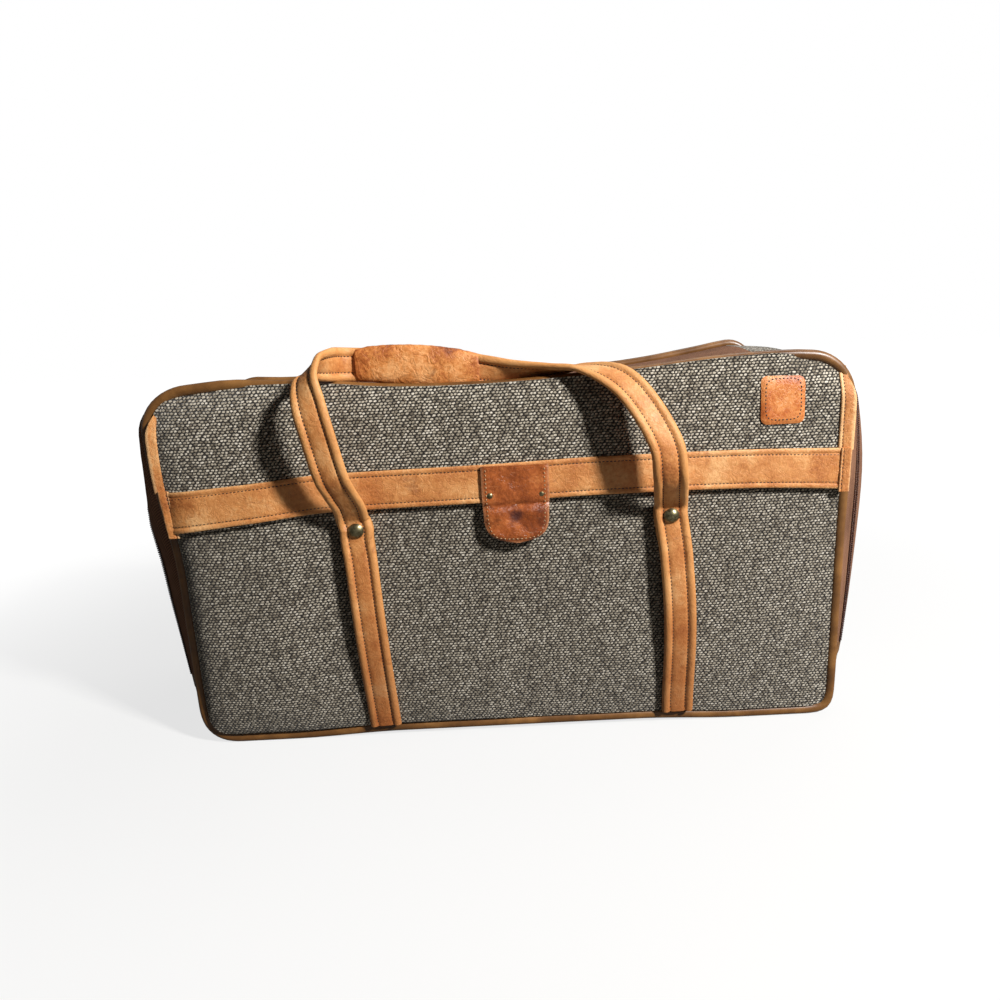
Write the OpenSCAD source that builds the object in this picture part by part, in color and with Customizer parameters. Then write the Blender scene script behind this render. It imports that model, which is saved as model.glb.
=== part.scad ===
// Soft tweed and tan leather travel case, built as separate sewn and riveted pieces.
// Units are millimetres. X runs to the right as seen from the front, the front faces -Y, Z is up.
// The origin is on the floor under the middle of the base.

/* [Case] */
// width of the front face over its piping
case_w = 540; // [520:10:580]
// height of the piped outline, without the sag of the base under it
case_h = 293; // [288:1:306]
// depth from the front panel's face to the rear panel's face
case_d = 190; // [170:5:220]
// corner radius of the piped outline
corner_r = 34; // [30:1:40]
// how far each side boxing swells beyond the piping
side_bulge = 24; // [8:1:28]
// how far the base sags below the piping
base_sag = 3; // [2:0.5:5]

/* [Piping and panels] */
// thickness of the vinyl piping
piping_d = 8; // [6:0.5:9]
// thickness of the front and rear boards with their tweed
panel_t = 5; // [4:0.5:6]
// thickness of the tweed boxing
boxing_t = 3; // [2:0.5:4]

/* [Zip] */
// width of the twill tape between the piping and the coil
tape_w = 18; // [14:1:20]
// width of the closed coil
coil_w = 6; // [5:0.5:7]
// height at which the zip ends on both sides
zip_end_z = 58; // [55:1:80]
// where the two sliders meet on the top
sliders_meet_x = 40; // [20:5:60]

/* [Pocket and flap] */
// how far the pocket stands off the front board in its middle
pocket_crown = 6.5; // [6:0.5:8]
// how far below the top the pocket's mouth lies
pocket_mouth_drop = 82; // [78:1:90]
// how far below the top the flap's lower edge lies
flap_low_drop = 93; // [90:1:94]
// height of the leather band along the flap's lower edge
band_h = 30; // [26:1:32]
// width of the tongue
tongue_w = 52; // [40:1:56]

/* [Handles] */
// width of the handle strap
strap_w = 26; // [24:1:28]
// how far below the top the rivets sit that carry the handles
rivet_drop = 109; // [108:1:110]
// diameter of the domed rivets
rivet_d = 12; // [10:0.5:12]
// length of the grip
grip_l = 94; // [80:2:96]

/* [Hidden] */
$fn = 48;
gap = 0.3;
piping_r = piping_d / 2;
half_w = case_w / 2;
base_z = base_sag;
top_z = base_z + case_h;
arc_x = half_w - corner_r;
arc_low_z = base_z + corner_r;
arc_high_z = top_z - corner_r;
front_y = -case_d / 2;
rear_y = case_d / 2;
front_pipe_y = front_y + piping_r - 2;
rear_pipe_y = rear_y - piping_r + 2;
pipe_low_z = base_z + piping_r;
pocket_mouth_z = top_z - pocket_mouth_drop;
flap_low_z = top_z - flap_low_drop;
rivet_z = top_z - rivet_drop;

// boxing, zip and lining, from front to back
lid_edge_y = front_pipe_y + piping_r + gap;
coil_y = lid_edge_y + tape_w + coil_w / 2;
coil_front_y = coil_y - coil_w / 2;
coil_rear_y = coil_y + coil_w / 2;
tape_rear_y = coil_rear_y + tape_w;
box_rear_y = rear_pipe_y - piping_r - gap;
box_inset = 2;
lining_t = 1.2;
coil_proud = 0.8;
rows_y = 8;

// Small helpers

function lerp(a, b, t) = a + (b - a) * t;
function unit(v) = v / norm(v);
function slice(list, a, b) = [for (i = [a:b]) list[i]];

// A closed sheet between two grids of points; rows cross columns point out of the first grid.
module sheet(outer, inner) {
    rows = len(outer);
    cols = len(outer[0]);
    half = rows * cols;
    points = concat([for (row = outer) each row], [for (row = inner) each row]);
    outer_faces = [
        for (i = [0:rows - 2], j = [0:cols - 2])
            let (a = i * cols + j, b = a + 1, c = a + cols, d = c + 1)
                each [[a, b, d], [a, d, c]]
    ];
    inner_faces = [for (f = outer_faces) [f[0] + half, f[2] + half, f[1] + half]];
    first_row = [for (j = [0:cols - 1]) j];
    last_row = [for (j = [0:cols - 1]) (rows - 1) * cols + cols - 1 - j];
    first_col = [for (i = [0:rows - 1]) (rows - 1 - i) * cols];
    last_col = [for (i = [0:rows - 1]) i * cols + cols - 1];
    rim_faces = [
        for (edge = [first_row, last_col, last_row, first_col], k = [0:len(edge) - 2])
            let (a = edge[k], b = edge[k + 1])
                each [[b, a, a + half], [b, a + half, b + half]]
    ];
    polyhedron(points, concat(outer_faces, inner_faces, rim_faces), convexity = 4);
}

// A solid strung through a list of closed sections.
module string_through(sections) {
    n = len(sections);
    k = len(sections[0]);
    points = [for (s = sections) each s];
    skin = [
        for (i = [0:n - 2], j = [0:k - 1])
            let (a = i * k + j, b = i * k + (j + 1) % k, c = a + k, d = b + k)
                each [[a, c, d], [a, d, b]]
    ];
    first_cap = [[for (j = [0:k - 1]) j]];
    last_cap = [[for (j = [k - 1:-1:0]) (n - 1) * k + j]];
    polyhedron(points, concat(skin, first_cap, last_cap), convexity = 6);
}

// The piped outline: stations of x, z and the angle of the outward normal.

function turn(cx, cz, from, to, n) = [
    for (i = [0:n])
        let (a = lerp(from, to, i / n))
            [cx + corner_r * cos(a), cz + corner_r * sin(a), a]
];

corner_steps = 6;
side_steps = 7;
left_low = turn(-arc_x, arc_low_z, 270, 180, corner_steps);
left_high = turn(-arc_x, arc_high_z, 180, 90, corner_steps);
right_high = turn(arc_x, arc_high_z, 90, 0, corner_steps);
right_low = turn(arc_x, arc_low_z, 0, -90, corner_steps);

function side_run(x, from_z, to_z, angle) = [
    for (i = [0:side_steps]) [x, lerp(from_z, to_z, i / side_steps), angle]
];

// the clockwise run of the zip: up the left side, over the top, down the right side
top_steps = 10;
function inner_part(list) = slice(list, 1, len(list) - 2);
left_zip_side = side_run(-half_w, zip_end_z, arc_high_z, 180);
right_zip_side = side_run(half_w, arc_high_z, zip_end_z, 0);
top_side = [for (i = [0:top_steps]) [lerp(-arc_x, arc_x, i / top_steps), top_z, 90]];
zip_stations = concat(
    left_zip_side, inner_part(left_high), top_side, inner_part(right_high), right_zip_side
);

// swell of the boxing: none where it is sewn to the two pipings, nearly all of it a short way in
function swell(st, y) =
    let (across = abs((y - (lid_edge_y + box_rear_y) / 2) / ((box_rear_y - lid_edge_y) / 2)))
    let (along = max(0, 1 - pow(min(across, 1), 9)))
    let (height = max(0, sin(180 * min(1, max(0, (st[1] - base_z) / case_h)))))
        along * (side_bulge * pow(height, 0.25) * pow(abs(cos(st[2])), 0.7)
            + (base_sag + box_inset) * max(0, -sin(st[2])));

function boxing_point(st, y, inset) =
    let (out = swell(st, y) - inset)
        [st[0] + out * cos(st[2]), y, max(st[1] + out * sin(st[2]), 0)];

function boxing_grid(stations, ys, inset) = [
    for (st = stations) [for (y = ys) boxing_point(st, y, inset)]
];

function steps(from, to, n) = [for (i = [0:n]) lerp(from, to, i / n)];

// steps that crowd towards the end, where the boxing curves down to the piping
function crowding(from, to, n) = [for (i = [0:n]) lerp(from, to, sin(90 * i / n))];

module boxing_strip(stations, ys, inset, t) {
    sheet(boxing_grid(stations, ys, inset), boxing_grid(stations, ys, inset + t));
}

// a flat outline for boards and linings
function outline(inset) = [
    for (st = concat(right_low, left_low, left_high, right_high))
        [st[0] - inset * cos(st[2]), st[1] - inset * sin(st[2])]
];

module board(y, t, inset) {
    translate([0, y + t, 0])
        rotate([90, 0, 0])
            linear_extrude(t)
                polygon(outline(inset));
}

module ring_corner(x, z, turned) {
    translate([x, 0, z])
        rotate([90, 0, 0])
            rotate([0, 0, turned])
                rotate_extrude(angle = 90)
                    translate([corner_r - piping_r, 0])
                        circle(piping_r);
}

module pipe_along_x(x0, x1, z, r) {
    translate([x0, 0, z])
        rotate([0, 90, 0])
            cylinder(h = x1 - x0, r = r);
}

// one closed ring of piping
module piping_ring(y) {
    translate([0, y, 0]) {
        pipe_along_x(-arc_x, arc_x, pipe_low_z, piping_r);
        pipe_along_x(-arc_x, arc_x, top_z - piping_r, piping_r);
        for (side = [-1, 1])
            translate([side * (half_w - piping_r), 0, arc_low_z])
                cylinder(h = arc_high_z - arc_low_z, r = piping_r);
        ring_corner(arc_x, arc_high_z, 0);
        ring_corner(-arc_x, arc_high_z, 90);
        ring_corner(-arc_x, arc_low_z, 180);
        ring_corner(arc_x, arc_low_z, 270);
    }
}

// Case: rear panel, boxing, lining and the case's half of the zip

box_ys = crowding(tape_rear_y + gap, box_rear_y, rows_y);
lid_tape_ys = [for (i = [4:-1:0]) crowding(coil_front_y, lid_edge_y, 4)[i]];
low_ys = concat(slice(lid_tape_ys, 0, 3), steps(coil_front_y, tape_rear_y, 3), box_ys);

module rear_panel() {
    color("dimgray")
        board(rear_y - panel_t, panel_t, piping_d);
}

module rear_lining() {
    color("tan")
        board(rear_y - panel_t - gap - lining_t, lining_t, piping_d + 2);
}

module rear_piping() {
    color("saddlebrown")
        piping_ring(rear_pipe_y);
}

module top_boxing() {
    color("rosybrown")
        boxing_strip(top_side, steps(coil_rear_y + gap, box_rear_y, 4), box_inset, boxing_t);
}

// the stretch of side boxing behind the zip tape, and the lower stretch that reaches the front piping
high_steps_left = concat(
    side_run(-half_w, zip_end_z - gap, arc_high_z, 180), slice(left_high, 1, corner_steps)
);
high_steps_right = concat(
    slice(right_high, 0, corner_steps - 1), side_run(half_w, arc_high_z, zip_end_z - gap, 0)
);
low_steps_left = concat(left_low, [[-half_w, zip_end_z - gap, 180]]);
low_steps_right = concat([[half_w, zip_end_z - gap, 0]], right_low);

module side_boxing_left() {
    color("dimgray") {
        boxing_strip(high_steps_left, box_ys, box_inset, boxing_t);
        boxing_strip(low_steps_left, low_ys, box_inset, boxing_t);
    }
}

module side_boxing_right() {
    color("dimgray") {
        boxing_strip(high_steps_right, box_ys, box_inset, boxing_t);
        boxing_strip(low_steps_right, low_ys, box_inset, boxing_t);
    }
}

// the base: flat where it stands, rising to both pipings
base_flat_y = case_d / 2 - 34;
base_edge_z = base_z + box_inset;

module bottom_boxing() {
    color("dimgray")
        rotate([90, 0, 90])
            translate([0, 0, -arc_x])
                linear_extrude(2 * arc_x)
                    polygon([
                        [lid_edge_y, base_edge_z], [-base_flat_y, 0], [base_flat_y, 0],
                        [box_rear_y, base_edge_z], [box_rear_y, base_edge_z + boxing_t],
                        [base_flat_y, boxing_t], [-base_flat_y, boxing_t],
                        [lid_edge_y, base_edge_z + boxing_t]
                    ]);
}

lining_inset = box_inset + boxing_t + gap;
lining_y0 = tape_rear_y + gap;
lining_y1 = rear_y - panel_t - 2 * gap - lining_t;

module base_board() {
    color("tan")
        translate([-arc_x, -base_flat_y, boxing_t + gap])
            cube([2 * arc_x, 2 * base_flat_y, 3]);
}

module boxing_lining() {
    color("tan")
        boxing_strip(
            concat(
                slice(left_low, 2, corner_steps), inner_part(side_run(-half_w, arc_low_z, arc_high_z, 180)),
                left_high, inner_part(top_side), right_high,
                inner_part(side_run(half_w, arc_high_z, arc_low_z, 0)), slice(right_low, 0, corner_steps - 2)
            ),
            [for (y = box_ys) min(y, lining_y1)], lining_inset, lining_t
        );
}

// the sides only: over the top the brown boxing itself reaches the coil
module case_tape() {
    tape_ys = steps(coil_rear_y + gap, tape_rear_y, 2);
    color("rosybrown") {
        boxing_strip(slice(zip_stations, 0, side_steps + corner_steps), tape_ys, box_inset, 2);
        boxing_strip(
            slice(zip_stations, side_steps + corner_steps + top_steps, len(zip_stations) - 1),
            tape_ys, box_inset, 2
        );
    }
}

module case_coil() {
    color("maroon")
        boxing_strip(
            zip_stations, steps(coil_y + gap / 2, coil_rear_y, 1), box_inset - coil_proud, 2 + coil_proud
        );
}

zip_end_h = 11;
zip_end_half_w = 8;

module zip_ends() {
    end_station = [[half_w, zip_end_z - 1, 0], [half_w, zip_end_z - 1 - zip_end_h, 0]];
    end_ys = steps(coil_y - zip_end_half_w, coil_y + zip_end_half_w, 2);
    color("saddlebrown") {
        boxing_strip(end_station, end_ys, box_inset - 1.5, 1.2);
        mirror([1, 0, 0])
            boxing_strip(end_station, end_ys, box_inset - 1.5, 1.2);
    }
}

// Lid: front panel, its piping, tape and coil, and the pocket sewn on it

module front_panel() {
    color("dimgray")
        board(front_y, panel_t, piping_d);
}

module lid_lining() {
    color("tan")
        board(front_y + panel_t + gap, lining_t, piping_d + 3);
}

module front_piping() {
    color("saddlebrown")
        piping_ring(front_pipe_y);
}

module lid_tape() {
    color("rosybrown")
        boxing_strip(zip_stations, lid_tape_ys, box_inset, 2);
}

module lid_coil() {
    color("maroon")
        boxing_strip(
            zip_stations, steps(coil_front_y, coil_y - gap / 2, 1), box_inset - coil_proud, 2 + coil_proud
        );
}

// The soft face: a surface that stands off the front board most in its middle
face_low_z = base_z + piping_d + 1;
face_mid_z = (base_z + top_z + 1) / 2;
face_half_z = face_mid_z - face_low_z;
face_half_w = half_w - piping_d + 1;

function crown(x, z) =
    pocket_crown * (1 - pow(min(1, abs(x) / face_half_w), 4))
        * (1 - pow(min(1, abs(z - face_mid_z) / face_half_z), 4));
function face_point(x, z, off) = [x, front_y - gap - crown(x, z) - off, z];

// half width of the face at a height, rounded with the corners
function face_edge(z, r) =
    z > arc_high_z ? arc_x + sqrt(max(0, r * r - pow(z - arc_high_z, 2)))
        : z < arc_low_z ? arc_x + sqrt(max(0, r * r - pow(arc_low_z - z, 2)))
            : arc_x + r;

face_r = corner_r - piping_d + 0.5;
face_cols = 12;

// columns crowd towards both edges, where the face curves back to its board
function face_grid(zs, r, off) = [
    for (z = zs)
        [for (u = [0:face_cols]) face_point(sin(lerp(-90, 90, u / face_cols)) * face_edge(z, r), z, off)]
];

module face_sheet(zs, r, off, t) {
    sheet(face_grid(zs, r, off), face_grid(zs, r, off + t));
}

pocket_t = 2.2;
pocket_zs = concat(steps(face_low_z, arc_low_z, 4), steps(arc_low_z + 22, pocket_mouth_z, 6));

module pocket_panel() {
    color("gray")
        face_sheet(pocket_zs, face_r, 0, pocket_t);
}

// turned hem inside the pocket's mouth
module pocket_hem() {
    color("saddlebrown")
        face_sheet(
            steps(pocket_mouth_z + gap, pocket_mouth_z + 3, 1), face_r - 6, 0, pocket_t
        );
}

// tongue and its snap, a little right of the middle
tongue_x = 5;
tongue_low_z = flap_low_z - 32;
snap_z = tongue_low_z + 14;

module snap_stud() {
    color("goldenrod")
        translate([tongue_x, face_point(tongue_x, snap_z, pocket_t)[1], snap_z])
            rotate([90, 0, 0]) {
                cylinder(h = 1, r = 5);
                cylinder(h = 2.6, r = 2.4);
            }
}

// Flap over the pocket: tweed, lining, bindings, band, patch and the hinge roll in the top seam
flap_t = 2.2;
flap_lining_t = 0.9;
flap_off = pocket_t + gap + 0.3;
flap_front_off = flap_off + flap_lining_t + flap_t;
leather_t = 1.3;
flap_hinge_z = top_z - piping_d - 4;
flap_r = corner_r;
flap_roll_r = 1.8;
flap_hinge_y = front_y - gap - flap_off - 2.4;
flap_top_z = flap_hinge_z - flap_roll_r - 0.2;
band_zs = steps(flap_low_z, flap_low_z + band_h, 2);
flap_upper_zs = concat([(flap_low_z + band_h + arc_high_z) / 2], steps(arc_high_z, flap_top_z, 5));
flap_zs = concat(band_zs, flap_upper_zs);

module flap_tweed() {
    color("dimgray")
        face_sheet(flap_zs, flap_r, flap_off + flap_lining_t, flap_t);
}

module flap_lining() {
    color("tan")
        face_sheet(flap_zs, flap_r, flap_off, flap_lining_t);
}

module flap_roll() {
    roll_half = face_edge(flap_hinge_z, flap_r) - 2;
    color("dimgray")
        translate([0, flap_hinge_y, 0])
            pipe_along_x(-roll_half, roll_half, flap_hinge_z, flap_roll_r);
}

binding_w = 10;
binding_off = flap_front_off + gap / 2;
binding_zs = concat([flap_low_z + band_h + gap], flap_upper_zs);

function edge_grid(zs, side, off) = [
    for (z = zs)
        let (edge = face_edge(z, flap_r + 1))
            [for (x = side > 0 ? steps(edge - binding_w, edge, 2) : steps(-edge, binding_w - edge, 2))
                face_point(x, z, off)]
];

module flap_binding(side) {
    sheet(
        edge_grid(binding_zs, side, binding_off),
        edge_grid(binding_zs, side, binding_off + leather_t)
    );
}

module flap_binding_left() {
    color("chocolate")
        flap_binding(-1);
}

module flap_binding_right() {
    color("chocolate")
        flap_binding(1);
}

module flap_band() {
    color("chocolate")
        face_sheet(band_zs, flap_r, flap_front_off, leather_t);
}

patch_x = 214;
patch_w = 37;
patch_h = 40;
patch_z = flap_top_z - patch_h / 2 - 0.5;

patch_off = flap_front_off + 0.4;
patch_corner = 5;

// rows of the patch: how far in from its top or bottom, and how far in its side is there
patch_rows = [[0, patch_corner], [patch_corner * 0.3, patch_corner * 0.3], [patch_corner, 0]];

function patch_grid(off) = [
    for (side = [-1, 1], k = side < 0 ? [0, 1, 2] : [2, 1, 0])
        let (row = patch_rows[k], z = patch_z + side * (patch_h / 2 - row[0]))
            [for (x = steps(row[1] - patch_w / 2, patch_w / 2 - row[1], 3)) face_point(patch_x + x, z, off)]
];

module corner_patch() {
    color("chocolate")
        sheet(patch_grid(patch_off), patch_grid(patch_off + leather_t));
}

// a rectangle with round corners, about its middle
module soft_square(w, h, r) {
    square([w - 2 * r, h], center = true);
    square([w, h - 2 * r], center = true);
    for (x = [-1, 1], y = [-1, 1])
        translate([x * (w / 2 - r), y * (h / 2 - r)])
            circle(r);
}

// the tongue is riveted to the band; its tip below the band folds forward
tongue_t = 2.4;
tongue_off = flap_front_off + leather_t + 0.2;
tongue_fold_z = flap_low_z - 2;
tongue_y = face_point(tongue_x, tongue_fold_z, tongue_off)[1];
tongue_top_z = flap_low_z + band_h - 1;
tongue_roll_r = tongue_t / 2;
tongue_rivet_z = flap_low_z + 6;
tongue_rivet_x = 20;

module tongue_base() {
    base_low_z = tongue_fold_z + tongue_roll_r + gap;
    color("sienna")
        translate([tongue_x - tongue_w / 2, tongue_y - tongue_t, base_low_z])
            cube([tongue_w, tongue_t, tongue_top_z - base_low_z]);
}

module tongue_rivets() {
    color("goldenrod")
        for (side = [-1, 1])
            translate([tongue_x + side * tongue_rivet_x, tongue_y - tongue_t, tongue_rivet_z])
                rotate([90, 0, 0])
                    dome(2.6, 1.2);
}

// a low domed head
module dome(r, h) {
    ball = (r * r + h * h) / (2 * h);
    intersection() {
        translate([0, 0, h - ball])
            sphere(ball);
        cylinder(h = h + 1, r = r);
    }
}

module tongue_tip() {
    round_r = tongue_w / 2 - 4;
    straight = tongue_fold_z - tongue_low_z - round_r;
    color("sienna")
        translate([tongue_x, tongue_y - tongue_roll_r, tongue_fold_z]) {
            pipe_along_x(-tongue_w / 2, tongue_w / 2, 0, tongue_roll_r);
            translate([0, tongue_roll_r, 0])
                rotate([90, 0, 0])
                    linear_extrude(tongue_t) {
                        translate([-tongue_w / 2, -straight])
                            square([tongue_w, straight]);
                        translate([-tongue_w / 2 + 4, -straight - 4])
                            square([tongue_w - 8, 4]);
                        for (side = [-1, 1])
                            translate([side * (tongue_w / 2 - 4), -straight])
                                circle(4);
                        translate([0, -straight])
                            intersection() {
                                circle(round_r);
                                translate([-tongue_w / 2, -tongue_w])
                                    square([tongue_w, tongue_w]);
                            }
                    }
        }
}

module snap_socket() {
    socket_y = face_point(tongue_x, snap_z, pocket_t)[1] - 1.6;
    color("goldenrod")
        translate([tongue_x, tongue_y + gap / 2, snap_z])
            rotate([-90, 0, 0])
                difference() {
                    cylinder(h = socket_y - tongue_y, r = 5.5);
                    translate([0, 0, 0.6])
                        cylinder(h = 20, r = 3.2);
                }
}

// Straps and handles: a flat strap with a rolled edge along each side
roll_r = 2.6;

roll_angles = [-150, -90, -30, 30, 90, 150];
web_half = roll_r * sin(150);
web_dip = 0.15;

// the two rolled edges joined by a thin web that dips a little in its middle
function strap_section() = [
    for (side = [1, -1])
        each concat(
            [for (a = roll_angles)
                [side * (strap_w / 2 - roll_r + roll_r * cos(a)), side * roll_r * sin(a)]],
            [[0, side * (web_half - web_dip)]]
        )
];

// a section set square to the strap's run at p, with its width along w
function set_section(p, run, w) =
    let (across = unit(w - (w * run) * run), face = cross(run, across))
        [for (q = strap_section()) p + q[0] * across + q[1] * face];

// a smooth way through control points; each holds x, y, z and the width direction
function smooth(p, i, t) =
    let (a = p[max(i - 1, 0)], b = p[i], c = p[min(i + 1, len(p) - 1)], d = p[min(i + 2, len(p) - 1)])
        0.5 * (2 * b + (c - a) * t + (2 * a - 5 * b + 4 * c - d) * t * t
            + (3 * b - a - 3 * c + d) * t * t * t);

function way(controls, n) = [
    for (k = [0:(len(controls) - 1) * n])
        let (i = min(floor(k / n), len(controls) - 2))
            smooth(controls, i, k / n - i)
];

function point_of(s) = [s[0], s[1], s[2]];
function width_of(s) = [s[3], s[4], s[5]];
function run_at(list, i) =
    unit(point_of(list[min(i + 1, len(list) - 1)]) - point_of(list[max(i - 1, 0)]));
function strap_sections(list) = [
    for (i = [0:len(list) - 1]) set_section(point_of(list[i]), run_at(list, i), width_of(list[i]))
];

// lower straps, from just under the rivets to the bottom seam
strap_foot_z = base_z + piping_d + 2;
left_rivet_x = -119.5;
left_foot_x = -112;
right_rivet_x = 125;
right_foot_x = 132;
front_strap_y = front_y - gap - crown(left_rivet_x, rivet_z) - pocket_t - roll_r - 0.2;
rear_strap_y = rear_y + gap + roll_r;
strap_top_z = rivet_z + rivet_d / 2;

// the handle's end lies over the lower strap, and the rivet goes through both
strap_over = 2 * roll_r + gap;
front_pivot_y = front_strap_y - strap_over;
rear_pivot_y = rear_strap_y + strap_over;

// bow: how far the strap stands off in the middle of its length
function lower_way(top_y, top_x, foot_x, foot_y, bow) = [
    for (i = [0:8])
        let (t = i / 8, out = bow * pow(sin(180 * min(1, t * strap_bend)), 1.2))
            [lerp(foot_x, top_x, t), lerp(foot_y, top_y, t) + out, lerp(strap_foot_z, strap_top_z, t), 1, 0, 0]
];

// the share of the strap's length that bows, up to just under the rivet
strap_bend = 1.08;

module lower_strap(top_y, top_x, foot_x, foot_y, bow) {
    string_through(strap_sections(lower_way(top_y, top_x, foot_x, foot_y, bow)));
}

front_foot_y = front_y - gap - pocket_t - roll_r - 0.6;
front_bow = -9;
rear_bow = 3;

module front_strap_left() {
    color("peru")
        lower_strap(front_strap_y, left_rivet_x, left_foot_x, front_foot_y, front_bow);
}

module front_strap_right() {
    color("peru")
        lower_strap(front_strap_y, right_rivet_x, right_foot_x, front_foot_y, front_bow);
}

module rear_strap_left() {
    color("peru")
        lower_strap(rear_strap_y, left_rivet_x, left_foot_x, rear_strap_y, rear_bow);
}

module rear_strap_right() {
    color("peru")
        lower_strap(rear_strap_y, right_rivet_x, right_foot_x, rear_strap_y, rear_bow);
}

// a shank that stands on the lower strap, under a domed head
rivet_shank_r = 2.6;

module rivet_pair(y, facing) {
    shank_h = strap_over;
    for (x = [left_rivet_x, right_rivet_x])
        translate([x, y + facing * (web_half + gap / 2), rivet_z])
            rotate([-facing * 90, 0, 0]) {
                cylinder(h = shank_h, r = rivet_shank_r);
                translate([0, 0, shank_h])
                    dome(rivet_d / 2, 3);
            }
}

module front_rivets() {
    color("darkgoldenrod")
        rivet_pair(front_strap_y, -1);
}

module rear_rivets() {
    color("darkgoldenrod")
        rivet_pair(rear_strap_y, 1);
}

// the ends of a leg's rolled edges reach the fold line on either side of the rivet
front_end_short = 3.4;
rear_end_short = 0.9;

module leg_ends(pivot_y, rise, out, short) {
    for (x = [left_rivet_x, right_rivet_x], side = [-1, 1])
        translate([x + side * (strap_w / 2 - roll_r), pivot_y, rivet_z]) {
            rotate([0, 90, 0])
                cylinder(h = 2 * roll_r, r = roll_r, center = true);
            rotate([atan2(-out, rise), 0, 0])
                translate([-roll_r, -roll_r * 0.8, 0])
                    cube([2 * roll_r, 1.6 * roll_r, norm([rise, out]) - short]);
        }
}

// front handle: control points relative to the fold line, read from the way the strap hangs in use
lean_out = -7.5;
lean_rise = 8.2;
grip_out = 26.4;
grip_rise = 123.5;
front_controls = [
    [left_rivet_x, lean_out, lean_rise, 1, 0, 0],
    [-120.8, -15.5, 17, 1, 0, 0],
    [-123, -21, 30, 1, 0, 0],
    [-126, -25, 47, 1, 0, 0],
    [-130.5, -28, 77, 1, -0.05, 0],
    [-135.5, -27.5, 100, 0.97, -0.25, 0],
    [-137.5, -19.5, 118, 0.6, -0.8, 0.05],
    [-132, -5.5, 126, 0.05, -0.92, 0.35],
    [-125.5, 9, 126, 0, -0.55, 0.8],
    [-115.5, 23, 124, 0, -0.08, 1],
    [-103, grip_out, grip_rise, 0, 0, 1],
    [-65, grip_out, grip_rise, 0, 0, 1],
    [-30, grip_out, grip_rise, 0, 0, 1],
    [-13, grip_out, grip_rise, 0, -0.05, 1],
    [8, 26.5, 122, 0, -0.45, 0.88],
    [34, 24, 118, -0.05, -0.88, 0.4],
    [62, 12.5, 115, -0.4, -0.86, -0.1],
    [82, -3, 107.5, -0.66, -0.5, -0.5],
    [98, -13.5, 90.5, -0.8, -0.34, -0.45],
    [115, -22, 60, -1, -0.12, 0],
    [119, -20.5, 36, -1, 0, 0],
    [122.5, -15.5, 17, -1, 0, 0],
    [right_rivet_x, lean_out, lean_rise, -1, 0, 0]
];
way_steps = 3;
leg_end = 8 * way_steps;
run_end = 16 * way_steps;
grip_x0 = -109;

function lift(list, pivot_y) = [
    for (s = list) [s[0], s[1] + pivot_y, s[2] + rivet_z, s[3], s[4], s[5]]
];

front_way = way(lift(front_controls, front_pivot_y), way_steps);
front_sections = strap_sections(front_way);

module front_leg_left() {
    color("peru")
        string_through(slice(front_sections, 0, leg_end));
}

module front_leg_ends() {
    color("peru")
        leg_ends(front_pivot_y, lean_rise, lean_out, front_end_short);
}

module front_run() {
    color("peru")
        string_through(slice(front_sections, leg_end, run_end));
}

module front_leg_right() {
    color("peru")
        string_through(slice(front_sections, run_end, len(front_sections) - 1));
}

// rear handle: hangs down outside its own lower straps
hang_out = 2;
hang_rise = 11;
hang_drop = 132.5;
hang_middle_out = 9.5;
rear_half = [
    [0, hang_out, -hang_rise, 1, 0, 0],
    [-0.5, 4, -20, 1, 0, 0],
    [-2, 6.5, -40, 1, 0, 0],
    [-3.5, 8, -72, 1, 0, 0],
    [-4, 11, -98, 0.9, 0.4, 0],
    [4, 14.5, -120, 0.5, 0.85, -0.2],
    [18, 14.5, -130, 0.05, 0.8, -0.6],
    [34, 12, -132, 0, 0.3, -0.95],
    [52, 10, -hang_drop, 0, 0, -1]
];
rear_controls = concat(
    [for (s = rear_half) [left_rivet_x + s[0], s[1], s[2], s[3], s[4], s[5]]],
    [[0, hang_middle_out, -hang_drop, 0, 0, -1]],
    [for (i = [len(rear_half) - 1:-1:0])
        let (s = rear_half[i])
            [right_rivet_x - s[0], s[1], s[2], -s[3], s[4], s[5]]]
);
rear_way = way(lift(rear_controls, rear_pivot_y), way_steps);
rear_sections = strap_sections(rear_way);
rear_leg_end = 7 * way_steps;
rear_run_end = len(rear_sections) - 1 - rear_leg_end;

module rear_leg_left() {
    color("peru")
        string_through(slice(rear_sections, 0, rear_leg_end));
}

module rear_leg_ends() {
    color("peru")
        leg_ends(rear_pivot_y, -hang_rise, hang_out, rear_end_short);
}

module rear_run() {
    color("peru")
        string_through(slice(rear_sections, rear_leg_end, rear_run_end));
}

module rear_leg_right() {
    color("peru")
        string_through(slice(rear_sections, rear_run_end, len(rear_sections) - 1));
}

// a crowned sleeve wrapped round the run
// room between the run and its sleeve; the front run still turns inside the grip's end
front_grip_room = 1.4;
rear_grip_room = 0.5;
grip_half_h = 16;
grip_half_t = 7;
grip_sides = 20;

function grip_section(x, y, z, h, t) = [
    for (i = [0:grip_sides - 1])
        let (a = 360 * i / grip_sides)
            [x, y + t * sign(cos(a)) * pow(abs(cos(a)), 0.6), z + h * sign(sin(a)) * pow(abs(sin(a)), 0.8)]
];

module grip(x0, y, z, room) {
    difference() {
        string_through([
            for (i = [0:8])
                let (u = 2 * i / 8 - 1, swell = 1 - 0.16 * pow(abs(u), 3))
                    grip_section(x0 + grip_l * i / 8, y, z, grip_half_h * swell, grip_half_t * swell)
        ]);
        translate([x0 - 1, y - roll_r - room, z - strap_w / 2 - room])
            cube([grip_l + 2, 2 * (roll_r + room), strap_w + 2 * room]);
    }
}

module front_grip() {
    color("sienna")
        grip(grip_x0, front_pivot_y + grip_out, rivet_z + grip_rise, front_grip_room);
}

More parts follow.
